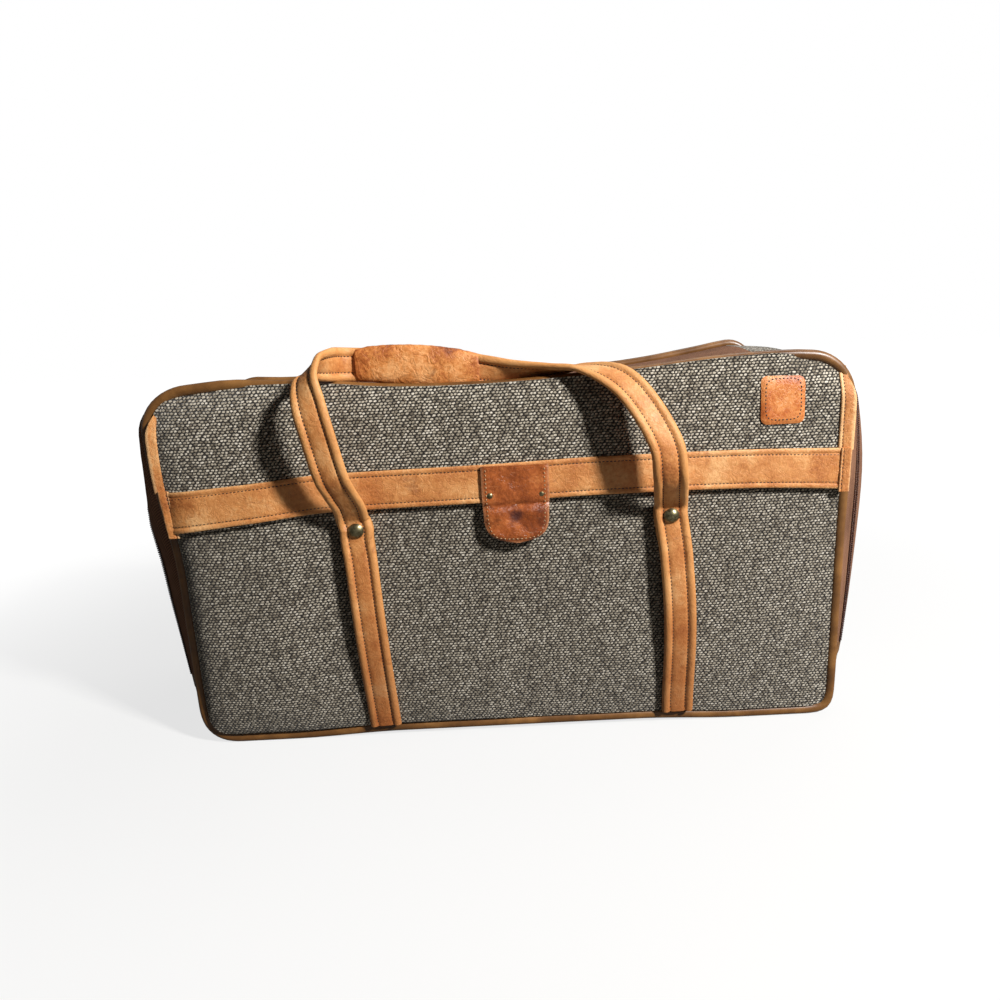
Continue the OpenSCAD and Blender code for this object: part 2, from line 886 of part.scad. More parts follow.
module rear_grip() {
    color("sienna")
        grip(
            (left_rivet_x + right_rivet_x - grip_l) / 2, rear_pivot_y + hang_middle_out, rivet_z - hang_drop,
            rear_grip_room
        );
}

// Zip sliders on the top run of the coil; each rides on the case's half and is open to the front
slider_l = 13;
slider_w = 9;
slider_roof_z = top_z - box_inset + coil_proud + 1.4;
pull_l = 26;
pull_axis_z = slider_roof_z + 3.4;

module slider_body(x) {
    skirt_z = top_z - box_inset + gap;
    color("darkgoldenrod")
        translate([x, coil_y + 0.5, 0]) {
            translate([0, 0, slider_roof_z])
                linear_extrude(1.4)
                    soft_square(slider_l, slider_w, 2.5);
            translate([-slider_l / 2 + 2, slider_w / 2 - 1.2, skirt_z])
                cube([slider_l - 4, 1.2, slider_roof_z - skirt_z]);
            for (side = [-1, 1])
                translate([0, side * 2.6, slider_roof_z + 1.4])
                    slider_cheek();
        }
}

// a cheek that holds the pull's axle
module slider_cheek() {
    translate([-2, -0.6, 0])
        cube([4, 1.2, 2]);
    translate([0, 0, 2])
        rotate([90, 0, 0])
            cylinder(h = 1.2, r = 2, center = true);
}

module slider_left() {
    slider_body(sliders_meet_x - slider_l / 2 - 0.5);
}

module slider_right() {
    slider_body(sliders_meet_x + slider_l / 2 + 0.5);
}

// an axle with a flat ring-ended tab lying along the zip
module pull(x, facing) {
    color("goldenrod")
        translate([x, coil_y + 0.5, pull_axis_z]) {
            rotate([90, 0, 0])
                cylinder(h = 3.4, r = 0.9, center = true);
            translate([facing > 0 ? 0.4 : -pull_l, -1.6, -0.6])
                cube([pull_l - 0.4, 3.2, 1.2]);
            translate([facing * (pull_l - 1), 0, -0.6])
                difference() {
                    cylinder(h = 1.2, r = 4.6);
                    translate([0, 0, -1])
                        cylinder(h = 4, r = 2.2);
                }
        }
}

module pull_left() {
    pull(sliders_meet_x - slider_l / 2 - 0.5, -1);
}

module pull_right() {
    pull(sliders_meet_x + slider_l / 2 + 0.5, 1);
}

// Drawing

rear_panel();
rear_lining();
rear_piping();
top_boxing();
side_boxing_left();
side_boxing_right();
bottom_boxing();
base_board();
boxing_lining();
case_tape();
case_coil();
zip_ends();
rear_strap_left();
rear_strap_right();
rear_rivets();
front_panel();
lid_lining();
front_piping();
lid_tape();
lid_coil();
pocket_panel();
pocket_hem();
snap_stud();
front_strap_left();
front_strap_right();
front_rivets();
flap_tweed();
flap_lining();
flap_binding_left();
flap_binding_right();
flap_band();
flap_roll();
corner_patch();
tongue_base();
tongue_rivets();
tongue_tip();
snap_socket();
front_leg_left();
front_leg_right();
front_leg_ends();
front_run();
front_grip();
rear_leg_left();
rear_leg_right();
rear_leg_ends();
rear_run();
rear_grip();
slider_left();
slider_right();
pull_left();
pull_right();
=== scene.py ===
import math

import bpy
from mathutils import Matrix, Vector, noise


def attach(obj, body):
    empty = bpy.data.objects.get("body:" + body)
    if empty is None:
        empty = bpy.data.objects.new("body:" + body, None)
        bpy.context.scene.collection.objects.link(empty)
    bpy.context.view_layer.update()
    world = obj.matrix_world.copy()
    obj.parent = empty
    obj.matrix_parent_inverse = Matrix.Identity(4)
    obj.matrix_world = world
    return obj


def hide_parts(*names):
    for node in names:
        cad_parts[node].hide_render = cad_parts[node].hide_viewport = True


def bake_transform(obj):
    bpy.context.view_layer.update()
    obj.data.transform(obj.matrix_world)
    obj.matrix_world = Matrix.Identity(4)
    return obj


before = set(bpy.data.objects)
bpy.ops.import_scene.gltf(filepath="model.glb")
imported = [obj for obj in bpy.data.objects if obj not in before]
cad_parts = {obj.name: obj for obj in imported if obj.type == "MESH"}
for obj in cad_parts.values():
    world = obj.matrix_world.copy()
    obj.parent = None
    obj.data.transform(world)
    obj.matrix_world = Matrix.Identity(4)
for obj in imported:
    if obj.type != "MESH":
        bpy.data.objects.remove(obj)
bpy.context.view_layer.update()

# The view
# The camera stands low in front of the case, a little left of its middle, and looks slightly down.
# A pale floor and three lamps stand for a plain studio; the strongest is small, high and on the right.

MM = 0.001
camera_at = Vector((-9.2, -660.5, 338.0)) * MM
looks_down = math.radians(13.56)
looks_right = math.radians(0.21)
leans = -0.0477
sensor_mm = 36.0
focal_share = 0.7339

ahead = Vector((
    math.sin(looks_right) * math.cos(looks_down),
    math.cos(looks_right) * math.cos(looks_down),
    -math.sin(looks_down),
))
level_right = Vector((math.cos(looks_right), -math.sin(looks_right), 0))
level_up = level_right.cross(ahead)
view_right = level_right * math.cos(leans) + level_up * math.sin(leans)
view_up = view_right.cross(ahead)

lens = bpy.data.cameras.new("camera")
lens.sensor_width = sensor_mm
lens.lens = sensor_mm * focal_share
lens.clip_start = 0.01
camera = bpy.data.objects.new("camera", lens)
turned = Matrix((view_right, view_up, -ahead)).transposed().to_4x4()
camera.matrix_world = Matrix.Translation(camera_at) @ turned
bpy.context.scene.collection.objects.link(camera)
bpy.context.scene.camera = camera
bpy.context.scene.view_settings.view_transform = "Standard"


def colour(code):
    """An sRGB hex code as linear red, green, blue and alpha."""
    parts = [int(code[k:k + 2], 16) / 255 for k in (1, 3, 5)]
    return tuple(p / 12.92 if p <= 0.04045 else ((p + 0.055) / 1.055) ** 2.4 for p in parts) + (1.0,)


def add_node(tree, kind, settings, inputs):
    """Adds one node, sets it, fills or links its inputs, and hands it back."""
    made = tree.nodes.new(kind)
    for key, value in settings.items():
        if key == "stops":
            while len(made.color_ramp.elements) < len(value):
                made.color_ramp.elements.new(1.0)
            for stop, (place, tint) in zip(made.color_ramp.elements, value):
                stop.position = place
                stop.color = colour(tint)
        else:
            setattr(made, key, value)
    for key, value in inputs.items():
        if isinstance(value, bpy.types.Node):
            value = value.outputs[0]
        if isinstance(value, bpy.types.NodeSocket):
            tree.links.new(value, made.inputs[key])
        else:
            made.inputs[key].default_value = value
    return made


def new_finish(name, roughness, metallic=0.0):
    """An empty material with its surface shader: returns the material, its tree and the shader."""
    made = bpy.data.materials.new(name)
    made.use_nodes = True
    shader = made.node_tree.nodes["Principled BSDF"]
    shader.inputs["Roughness"].default_value = roughness
    shader.inputs["Metallic"].default_value = metallic
    return made, made.node_tree, shader


def plain_object(name, vertices, faces):
    """A mesh object from points in millimetres."""
    mesh = bpy.data.meshes.new(name)
    mesh.from_pydata([Vector(v) * MM for v in vertices], [], faces)
    mesh.update()
    made = bpy.data.objects.new(name, mesh)
    bpy.context.scene.collection.objects.link(made)
    return made


floor_reach = 6000
floor = plain_object(
    "floor",
    [(-floor_reach, -floor_reach, 0), (floor_reach, -floor_reach, 0),
     (floor_reach, floor_reach, 0), (-floor_reach, floor_reach, 0)],
    [(0, 1, 2, 3)],
)

# matt white studio floor: bright to the camera, and it keeps the soft shadow of the case
floor_finish, tree, shader = new_finish("matt_white_floor", 0.9)
light_path = add_node(tree, "ShaderNodeLightPath", {}, {})
paleness = add_node(tree, "ShaderNodeMix", {"data_type": "RGBA"}, {
    0: light_path.outputs["Is Camera Ray"], 6: colour("#6E6C69"), 7: colour("#C9C7C3"),
})
tree.links.new(paleness.outputs[2], shader.inputs["Base Color"])
spot = add_node(tree, "ShaderNodeTexCoord", {}, {})
distance = add_node(tree, "ShaderNodeVectorMath", {"operation": "LENGTH"}, {0: spot.outputs["Object"]})
white_share = add_node(tree, "ShaderNodeMapRange", {"interpolation_type": "SMOOTHSTEP"}, {
    "Value": distance.outputs["Value"], "From Min": 0.3, "From Max": 1.1, "To Min": 0.72, "To Max": 1.0,
})
glow = add_node(tree, "ShaderNodeEmission", {}, {"Color": colour("#FFFFFF"), "Strength": 1.05})
share = add_node(tree, "ShaderNodeMath", {"operation": "MULTIPLY"}, {
    0: light_path.outputs["Is Camera Ray"], 1: white_share,
})
blended = add_node(tree, "ShaderNodeMixShader", {}, {0: share, 1: shader, 2: glow})
tree.links.new(blended.outputs[0], tree.nodes["Material Output"].inputs["Surface"])
floor.data.materials.append(floor_finish)

world = bpy.data.worlds.new("studio")
world.use_nodes = True
bpy.context.scene.world = world
tree = world.node_tree
light_path = add_node(tree, "ShaderNodeLightPath", {}, {})
seen = add_node(tree, "ShaderNodeMath", {"operation": "MULTIPLY_ADD"}, {
    0: light_path.outputs["Is Glossy Ray"], 1: 0.25, 2: light_path.outputs["Is Camera Ray"],
})
strength = add_node(tree, "ShaderNodeMapRange", {}, {
    "Value": seen, "From Min": 0.0, "From Max": 1.0, "To Min": 0.012, "To Max": 1.0,
})
tree.nodes["Background"].inputs["Color"].default_value = colour("#FFFFFF")
tree.links.new(strength.outputs[0], tree.nodes["Background"].inputs["Strength"])


def soft_lamp(name, place, aim, size, watts):
    """A square area lamp at a place in metres, turned to its aim."""
    lamp = bpy.data.lights.new(name, "AREA")
    lamp.size = size
    lamp.energy = watts
    made = bpy.data.objects.new(name, lamp)
    direction = Vector(aim) - Vector(place)
    made.matrix_world = Matrix.Translation(place) @ direction.to_track_quat("-Z", "Y").to_matrix().to_4x4()
    bpy.context.scene.collection.objects.link(made)


soft_lamp("key_lamp", (1.35, -1.2, 1.4), (0, 0, 0.15), 0.22, 82)
soft_lamp("fill_lamp", (1.0, -2.6, 0.9), (0, 0, 0.15), 1.2, 0.9)
soft_lamp("top_lamp", (0.7, 0.7, 2.0), (0, 0, 0.15), 1.0, 10)

# Rear panel
# A stiff board covered with tweed closes the back of the case. Its edge is sewn into the piping all
# round. The cloth is a heavy wool tweed in two yarns, pale picks over a dark ground.

case_w, case_h, case_d = 540, 293, 190
corner_r = 34
high_corner_power, low_left_power, low_right_power = 2.1, 2.4, 4.2
base_z = 3
top_z = base_z + case_h
case_mid_z = (base_z + top_z) / 2
half_w = case_w / 2
arc_x = half_w - corner_r
arc_low_z = base_z + corner_r
arc_high_z = top_z - corner_r
front_y, rear_y = -case_d / 2, case_d / 2
piping_d = 8
piping_r = piping_d / 2
panel_t = 5
case_middle = Vector((0, 0, 150))


def blend_in(t):
    """A smooth rise from 0 to 1."""
    t = min(1.0, max(0.0, t))
    return t * t * (3 - 2 * t)


def corner_power(high, side):
    """How full a corner is: the lower right one is the squarest."""
    if high:
        return high_corner_power
    return low_left_power if side < 0 else low_right_power


def face_edge(z, r, side=1):
    """How far a face reaches from its middle to one side at a height."""
    power = corner_power(z > arc_high_z, side)
    into_corner = min(1.0, max(0.0, z - arc_high_z, arc_low_z - z) / r)
    return arc_x + r * (1 - into_corner ** power) ** (1 / power)


def steps(start, end, count):
    return [start + (end - start) * k / count for k in range(count + 1)]


def face_heights(low, high, r, count):
    """Heights up a face, closer together where its corners turn."""
    heights = [arc_low_z - r * math.cos(a) ** 0.5 for a in steps(0, math.pi / 2, 14)]
    heights += steps(arc_low_z, arc_high_z, count)[1:-1]
    heights += [arc_high_z + r * math.sin(a) for a in steps(0, math.pi / 2, 12)]
    inside = [z for z in heights if low + 1 < z < high - 1]
    return [max(low, heights[0])] + inside + [min(high, heights[-1])]


def close_shell(grid, thickness, cloth):
    """Vertices, faces and cloth places of a closed sheet; the grid is the side away from the middle."""
    rows, cols = len(grid), len(grid[0])
    normals = []
    for i in range(rows):
        for j in range(cols):
            down = grid[min(i + 1, rows - 1)][j] - grid[max(i - 1, 0)][j]
            across = grid[i][min(j + 1, cols - 1)] - grid[i][max(j - 1, 0)]
            normals.append(down.cross(across).normalized())
    outward = sum(n.dot(p - case_middle) for n, p in zip(normals, (p for row in grid for p in row))) > 0
    if not outward:
        normals = [-n for n in normals]
    outer = [p for row in grid for p in row]
    inner = [p - n * thickness for p, n in zip(outer, normals)]
    half = rows * cols
    faces = []
    for i in range(rows - 1):
        for j in range(cols - 1):
            a, b, c, d = i * cols + j, i * cols + j + 1, (i + 1) * cols + j + 1, (i + 1) * cols + j
            faces += [(a, d, c, b), (a + half, b + half, c + half, d + half)]
    edge = list(range(cols)) + [i * cols + cols - 1 for i in range(1, rows)]
    edge += [(rows - 1) * cols + j for j in range(cols - 2, -1, -1)]
    edge += [i * cols for i in range(rows - 2, 0, -1)]
    for k, a in enumerate(edge):
        b = edge[(k + 1) % len(edge)]
        faces.append((a, b, b + half, a + half))
    if not outward:
        faces = [tuple(reversed(f)) for f in faces]
    places = [cloth(i, j) for i in range(rows) for j in range(cols)]
    # the back is set aside by the thickness, so that the weave isn't drawn out along the cut edges
    back = [(u + thickness, v + thickness) for u, v in places]
    return outer + inner, faces, places + back


def cloth_piece(name, grids, thickness, cloth=None):
    """A closed sheet, or several, with the cloth's own run stored in metres as its UV map."""
    vertices, faces, places = [], [], []
    for grid in grids:
        rows, cols = len(grid), len(grid[0])
        middle = rows // 2
        along, over = [0.0], [0.0]
        for j in range(1, cols):
            along.append(along[-1] + (grid[middle][j] - grid[middle][j - 1]).length)
        for i in range(1, rows):
            over.append(over[-1] + (grid[i][cols // 2] - grid[i - 1][cols // 2]).length)
        if cloth == "face":
            run = lambda i, j, g=grid: (g[i][j].x, g[i][j].z)
        else:
            run = lambda i, j: (along[j], over[i])
        got = close_shell(grid, thickness, run)
        first = len(vertices)
        vertices += got[0]
        faces += [tuple(first + k for k in face) for face in got[1]]
        places += got[2]
    made = plain_object(name, vertices, faces)
    layer = made.data.uv_layers.new(name="cloth")
    for loop in made.data.loops:
        u, v = places[loop.vertex_index]
        layer.data[loop.index].uv = (u * MM, v * MM)
    made.data.polygons.foreach_set("use_smooth", [True] * len(made.data.polygons))
    made.data.set_sharp_from_angle(angle=math.radians(50))
    return made


def fit(piece, finish, body, nodes=(), bends=None):
    """Gives a piece its finish and says what it rides on and which nodes it stands for.

    bends marks a piece that crosses a joint: such a piece is only baked where it stands and hung on no body,
    and the second body and bend ends given in bends are not used.
    """
    if finish:
        piece.data.materials.append(finish)
    if bends:
        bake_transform(piece)
    else:
        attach(piece, body)
    if nodes:
        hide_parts(*nodes)


# wool tweed, woven in heavy yarn: rows of pale flecks, each row half a step aside of the next, on a
# charcoal-brown ground, with the odd dark fleck and a mottle of 15 mm
fleck_w, fleck_h = 3.1, 2.15
# all as shares of a fleck's cell: how far it may be set aside, its slant and its half length and height
fleck_jog_x, fleck_jog_y, fleck_slant = 0.3, 0.2, -0.2
fleck_long, fleck_short = 0.45, 0.44


def make_tweed(name, brightness):
    """Tweed of pale flecks on a dark ground; brightness is how fully a fleck covers the ground."""
    made, tree, shader = new_finish(name, 0.92)
    shader.inputs["Specular IOR Level"].default_value = 0.25
    shader.inputs["Sheen Weight"].default_value = 0.25
    shader.inputs["Sheen Roughness"].default_value = 0.5
    cloth = add_node(tree, "ShaderNodeUVMap", {"uv_map": "cloth"}, {})
    drift = add_node(tree, "ShaderNodeTexNoise", {"noise_dimensions": "2D"}, {
        "Vector": cloth, "Scale": 1 / (11 * MM), "Detail": 3.0, "Roughness": 0.6,
    })
    centred = add_node(tree, "ShaderNodeVectorMath", {"operation": "SUBTRACT"}, {
        0: drift.outputs["Color"], 1: (0.5, 0.5, 0.5),
    })
    pushed = add_node(tree, "ShaderNodeVectorMath", {"operation": "MULTIPLY_ADD"}, {
        0: centred, 1: (3.2 * MM, 1.5 * MM, 0), 2: cloth,
    })
    in_flecks = add_node(tree, "ShaderNodeVectorMath", {"operation": "MULTIPLY"}, {
        0: pushed, 1: (1 / (fleck_w * MM), 1 / (fleck_h * MM), 0),
    })
    place = add_node(tree, "ShaderNodeSeparateXYZ", {}, {0: in_flecks})
    row = add_node(tree, "ShaderNodeMath", {"operation": "FLOOR"}, {0: place.outputs["Y"]})
    odd = add_node(tree, "ShaderNodeMath", {"operation": "FLOORED_MODULO"}, {0: row, 1: 2.0})
    aside = add_node(tree, "ShaderNodeMath", {"operation": "MULTIPLY_ADD"}, {
        0: odd, 1: 0.5, 2: place.outputs["X"],
    })
    column = add_node(tree, "ShaderNodeMath", {"operation": "FLOOR"}, {0: aside})
    cell = add_node(tree, "ShaderNodeCombineXYZ", {}, {0: column, 1: row})
    chance = add_node(tree, "ShaderNodeTexWhiteNoise", {"noise_dimensions": "2D"}, {"Vector": cell})
    chances = add_node(tree, "ShaderNodeSeparateColor", {}, {0: chance.outputs["Color"]})
    in_x = add_node(tree, "ShaderNodeMath", {"operation": "FRACT"}, {0: aside})
    in_y = add_node(tree, "ShaderNodeMath", {"operation": "FRACT"}, {0: place.outputs["Y"]})
    jog_x = add_node(tree, "ShaderNodeMath", {"operation": "MULTIPLY_ADD"}, {
        0: chances.outputs[1], 1: fleck_jog_x, 2: in_x,
    })
    jog_y = add_node(tree, "ShaderNodeMath", {"operation": "MULTIPLY_ADD"}, {
        0: chances.outputs[2], 1: fleck_jog_y, 2: in_y,
    })
    from_x = add_node(tree, "ShaderNodeMath", {"operation": "SUBTRACT"}, {0: jog_x, 1: 0.5 + fleck_jog_x / 2})
    from_y = add_node(tree, "ShaderNodeMath", {"operation": "SUBTRACT"}, {0: jog_y, 1: 0.5 + fleck_jog_y / 2})
    slant = add_node(tree, "ShaderNodeMath", {"operation": "MULTIPLY_ADD"}, {
        0: from_x, 1: fleck_slant, 2: from_y,
    })
    long_way = add_node(tree, "ShaderNodeMath", {"operation": "DIVIDE"}, {0: from_x, 1: fleck_long})
    short_way = add_node(tree, "ShaderNodeMath", {"operation": "DIVIDE"}, {0: slant, 1: fleck_short})
    long_squared = add_node(tree, "ShaderNodeMath", {"operation": "MULTIPLY"}, {0: long_way, 1: long_way})
    squared = add_node(tree, "ShaderNodeMath", {"operation": "MULTIPLY_ADD"}, {
        0: short_way, 1: short_way, 2: long_squared,
    })
    fibres = add_node(tree, "ShaderNodeTexNoise", {"noise_dimensions": "2D"}, {
        "Vector": cloth, "Scale": 1 / (0.75 * MM), "Detail": 3.0, "Roughness": 0.7,
    })
    ragged = add_node(tree, "ShaderNodeMath", {"operation": "MULTIPLY_ADD"}, {
        0: fibres.outputs[0], 1: 1.1, 2: squared,
    })
    fleck = add_node(tree, "ShaderNodeMapRange", {"interpolation_type": "SMOOTHSTEP"}, {
        "Value": ragged, "From Min": 1.8, "From Max": 0.75, "To Min": 0.0, "To Max": 1.0,
    })
    mottle = add_node(tree, "ShaderNodeTexNoise", {"noise_dimensions": "2D"}, {
        "Vector": cloth, "Scale": 1 / (16 * MM), "Detail": 2.0, "Roughness": 0.55,
    })
    pick = add_node(tree, "ShaderNodeMath", {"operation": "MULTIPLY_ADD"}, {
        0: mottle.outputs[0], 1: 0.5, 2: chances.outputs[0],
    })
    pick_place = add_node(tree, "ShaderNodeMapRange", {}, {
        "Value": pick, "From Min": 0.15, "From Max": 1.3, "To Min": 0.0, "To Max": 1.0,
    })
    yarn = add_node(tree, "ShaderNodeValToRGB", {"stops": [
        (0.0, "#655A4A"), (0.15, "#857A68"), (0.35, "#A09582"),
        (0.6, "#B5AA96"), (0.8, "#C9BEAA"), (1.0, "#E0D6C4"),
    ]}, {0: pick_place})
    ground = add_node(tree, "ShaderNodeValToRGB", {"stops": [
        (0.25, "#0C0907"), (0.5, "#1F1914"), (0.75, "#443B30"),
    ]}, {0: fibres.outputs[0]})
    cover = add_node(tree, "ShaderNodeMath", {"operation": "MULTIPLY"}, {0: fleck, 1: brightness})
    tint = add_node(tree, "ShaderNodeMix", {"data_type": "RGBA"}, {0: cover, 6: ground, 7: yarn})
    tree.links.new(tint.outputs[2], shader.inputs["Base Color"])
    height = add_node(tree, "ShaderNodeMath", {"operation": "MULTIPLY_ADD"}, {
        0: fibres.outputs[0], 1: 0.35, 2: fleck,
    })
    bump = add_node(tree, "ShaderNodeBump", {}, {"Strength": 1.0, "Distance": 0.7 * MM, "Height": height})
    tree.links.new(bump.outputs[0], shader.inputs["Normal"])
    return made


tweed = make_tweed("wool_tweed_two_yarns", 0.94)


def uneven(x, z, reach, seed):
    """The soft unevenness of cloth over board, in millimetres."""
    return reach * noise.noise(Vector((x / 70, z / 70, seed)))


def board_grid(y, inset, side, swell_mid):
    """A flat rounded face at y, standing a little prouder in its middle; side is -1 in front, 1 behind."""
    r = corner_r - inset
    grid = []
    for z in face_heights(base_z + inset, top_z - inset, r, 12):
        row = []
        for u in steps(-1, 1, 24):
            x = u * face_edge(z, r, u)
            proud = swell_mid * (1 - abs(u) ** 6) * (1 - abs((z - case_mid_z) / (case_h / 2 - inset)) ** 6)
            row.append(Vector((x, y + side * (proud + uneven(x, z, 0.4, 3.0) * (1 - u ** 4)), z)))
        grid.append(row)
    return grid


# how far the slack top edges stand above or below their level, at places across the case: each pair is
# a place across and a height
front_edge_rise = (
    (-262, 5), (-236, 7.5), (-207, 9.5), (-160, 7), (-133, 5.5), (-95, 1.5), (-40, -0.5),
    (20, 0.5), (60, 2.5), (105, 5.5), (150, 9.5), (194, 12), (225, 12), (262, 7.5),
)
rear_edge_rise = (
    (-236, 0.5), (-200, -1), (-60, -1), (50, -1.5), (105, -2),
    (155, 2.5), (206, 10), (240, 15.5), (262, 14.5),
)
# how far the front's upper corners spread, the rear's top leans to the left and the low corners sag
left_spread, right_spread = 12, 2
rear_lean = 9
low_corner_sag = 3
# where each of these begins, and over what length it grows to its full amount
rise_from_z, rise_over = 200, 96
lean_from_z, lean_over = 150, 110
front_from_y, front_over = -72, 16
rear_from_y, rear_over = -52, 110
sag_from_z, sag_over = 70, 60
sag_from_x, sag_along = 100, 90


def read_between(pairs, x):
    """A smooth curve through the listed values."""
    x = min(max(x, pairs[0][0]), pairs[-1][0])
    k = max(i for i, (place, _) in enumerate(pairs[:-1]) if place <= x)
    (x0, v0), (x1, v1) = pairs[k], pairs[k + 1]
    before, after = pairs[max(k - 1, 0)], pairs[min(k + 2, len(pairs) - 1)]
    slope0 = (v1 - before[1]) / (x1 - before[0])
    slope1 = (after[1] - v0) / (after[0] - x0)
    t = (x - x0) / (x1 - x0)
    from_ends = v0 + (v1 - v0) * blend_in(t)
    return from_ends + (x1 - x0) * t * (1 - t) * (slope0 * (1 - t) - slope1 * t)


def settled(point):
    """Where a point of the soft case really lies: its top sags, rises and leans, its corners spread."""
    near_top = blend_in((point.z - rise_from_z) / rise_over)
    upper = blend_in((point.z - lean_from_z) / lean_over)
    in_front = blend_in((front_from_y - point.y) / front_over)
    behind = blend_in((point.y - rear_from_y) / rear_over)
    rise = read_between(front_edge_rise, point.x) * in_front
    rise += read_between(rear_edge_rise, point.x) * behind
    if point.x < 0:
        spread = -left_spread * in_front * upper * abs(point.x / half_w) ** 5
    else:
        spread = right_spread * in_front * upper * (point.x / half_w) ** 7
    low = blend_in((sag_from_z - point.z) / sag_over)
    at_corner = low * blend_in((abs(point.x) - sag_from_x) / sag_along)
    sag = min(low_corner_sag * at_corner * in_front, max(0.0, point.z))
    return Vector((point.x + spread - rear_lean * behind * upper, point.y, point.z + rise * near_top - sag))


def settle(grid):
    return [[settled(point) for point in row] for row in grid]


rear_panel = cloth_piece(
    "rear_panel_tweed", [settle(board_grid(rear_y - 0.6, piping_d - 2.5, 1, 1.6))], panel_t - 1, "face"
)
fit(rear_panel, tweed, "case", ["rear_panel"])

# Lining
# The inside is lined with thin plain tan cloth, glued to the boards and sewn into the seams; a loose
# board, covered alike, stiffens the base.

lining_t = 1.2
boxing_t = 3
seam_gap = 0.3
base_flat_y = case_d / 2 - 34


# plain-woven tan cotton: a fine thread net of about 0.8 mm, drawn twice as coarse as it is, dull
thread_pitch = 1.6
# at this scale a wave texture has one wave to each unit of its input
one_wave = 0.314
lining_cloth, tree, shader = new_finish("plain_tan_cotton", 0.88)
cloth = add_node(tree, "ShaderNodeUVMap", {"uv_map": "cloth"}, {})
threads = add_node(tree, "ShaderNodeVectorMath", {"operation": "SCALE"}, {
    0: cloth, "Scale": 1 / (thread_pitch * MM),
})
across = add_node(tree, "ShaderNodeTexWave", {"bands_direction": "X"}, {
    "Vector": threads, "Scale": one_wave, "Distortion": 0.6,
})
down = add_node(tree, "ShaderNodeTexWave", {"bands_direction": "Y"}, {
    "Vector": threads, "Scale": one_wave, "Distortion": 0.6,
})
net = add_node(tree, "ShaderNodeMath", {"operation": "MULTIPLY"}, {
    0: across.outputs["Fac"], 1: down.outputs["Fac"],
})
rubbed = add_node(tree, "ShaderNodeTexNoise", {}, {"Vector": cloth, "Scale": 18.0, "Detail": 4.0})
shade = add_node(tree, "ShaderNodeMath", {"operation": "MULTIPLY_ADD"}, {
    0: net, 1: 0.35, 2: rubbed.outputs[0],
})
tan = add_node(tree, "ShaderNodeValToRGB", {"stops": [
    (0.3, "#7C6448"), (0.7, "#A98C66"), (1.0, "#BCA37E"),
]}, {0: shade})
tree.links.new(tan.outputs[0], shader.inputs["Base Color"])
bump = add_node(tree, "ShaderNodeBump", {}, {"Strength": 0.6, "Distance": 0.2 * MM, "Height": net})
tree.links.new(bump.outputs[0], shader.inputs["Normal"])

rear_lining_grid = board_grid(rear_y - panel_t - seam_gap - lining_t, piping_d + 2, -1, 0.0)
rear_lining = cloth_piece("rear_lining_cloth", [settle(rear_lining_grid)], -lining_t, "face")
fit(rear_lining, lining_cloth, "case", ["rear_lining"])
lid_lining_grid = board_grid(front_y + panel_t + seam_gap, piping_d + 3, -1, 0.0)
lid_lining = cloth_piece("lid_lining_cloth", [settle(lid_lining_grid)], lining_t, "face")
fit(lid_lining, lining_cloth, "lid", ["lid_lining"])

front_pipe_y = front_y + piping_r - 2
rear_pipe_y = rear_y - piping_r + 2
tape_w, coil_w = 18, 6
lid_edge_y = front_pipe_y + piping_r + seam_gap
coil_y = lid_edge_y + tape_w + coil_w / 2
coil_rear_y = coil_y + coil_w / 2
tape_rear_y = coil_rear_y + tape_w
box_rear_y = rear_pipe_y - piping_r - seam_gap
box_inset = 2
side_bulge = 24
base_sag = 3
# the left side hangs fuller above its middle, most at the belly, and flatter below; the right one is
# fuller all the way up
left_fuller, left_fuller_from_z, left_fuller_over = 5, 90, 120
left_belly, left_belly_z, left_belly_h = 6, 198, 30
left_flatter, left_flatter_below_z, left_flatter_over = 4, 140, 90
right_fuller = 10
right_belly, right_belly_z, right_belly_h = 5, 215, 60
# powers of the curve across the boxing's width: the larger the number, the flatter its middle
left_roundness, right_roundness, base_roundness = 9, 4.2, 9
zip_end_z = 58
zip_drift = 9
top_dip_depth, top_dip_from_y, top_dip_over = 3.6, -52, 50


def arc(cx, cz, start, end, count):
    """Stations round a corner: x, z and the angle of the outward normal."""
    power = corner_power(cz == arc_high_z, cx)
    stations = []
    for a in steps(math.radians(start), math.radians(end), count):
        c, s = math.cos(a), math.sin(a)
        reach = corner_r * (abs(c) ** power + abs(s) ** power) ** (-1 / power)
        normal = math.atan2(math.copysign(abs(s) ** (power - 1), s), math.copysign(abs(c) ** (power - 1), c))
        stations.append((cx + reach * c, cz + reach * s, normal))
    return stations


left_low = arc(-arc_x, arc_low_z, 270, 180, 12)
left_high = arc(-arc_x, arc_high_z, 180, 90, 12)
right_high = arc(arc_x, arc_high_z, 90, 0, 12)
right_low = arc(arc_x, arc_low_z, 0, -90, 12)


def straight_side(side, from_z, to_z, count):
    angle = math.pi if side < 0 else 0.0
    return [(side * half_w, z, angle) for z in steps(from_z, to_z, count)]


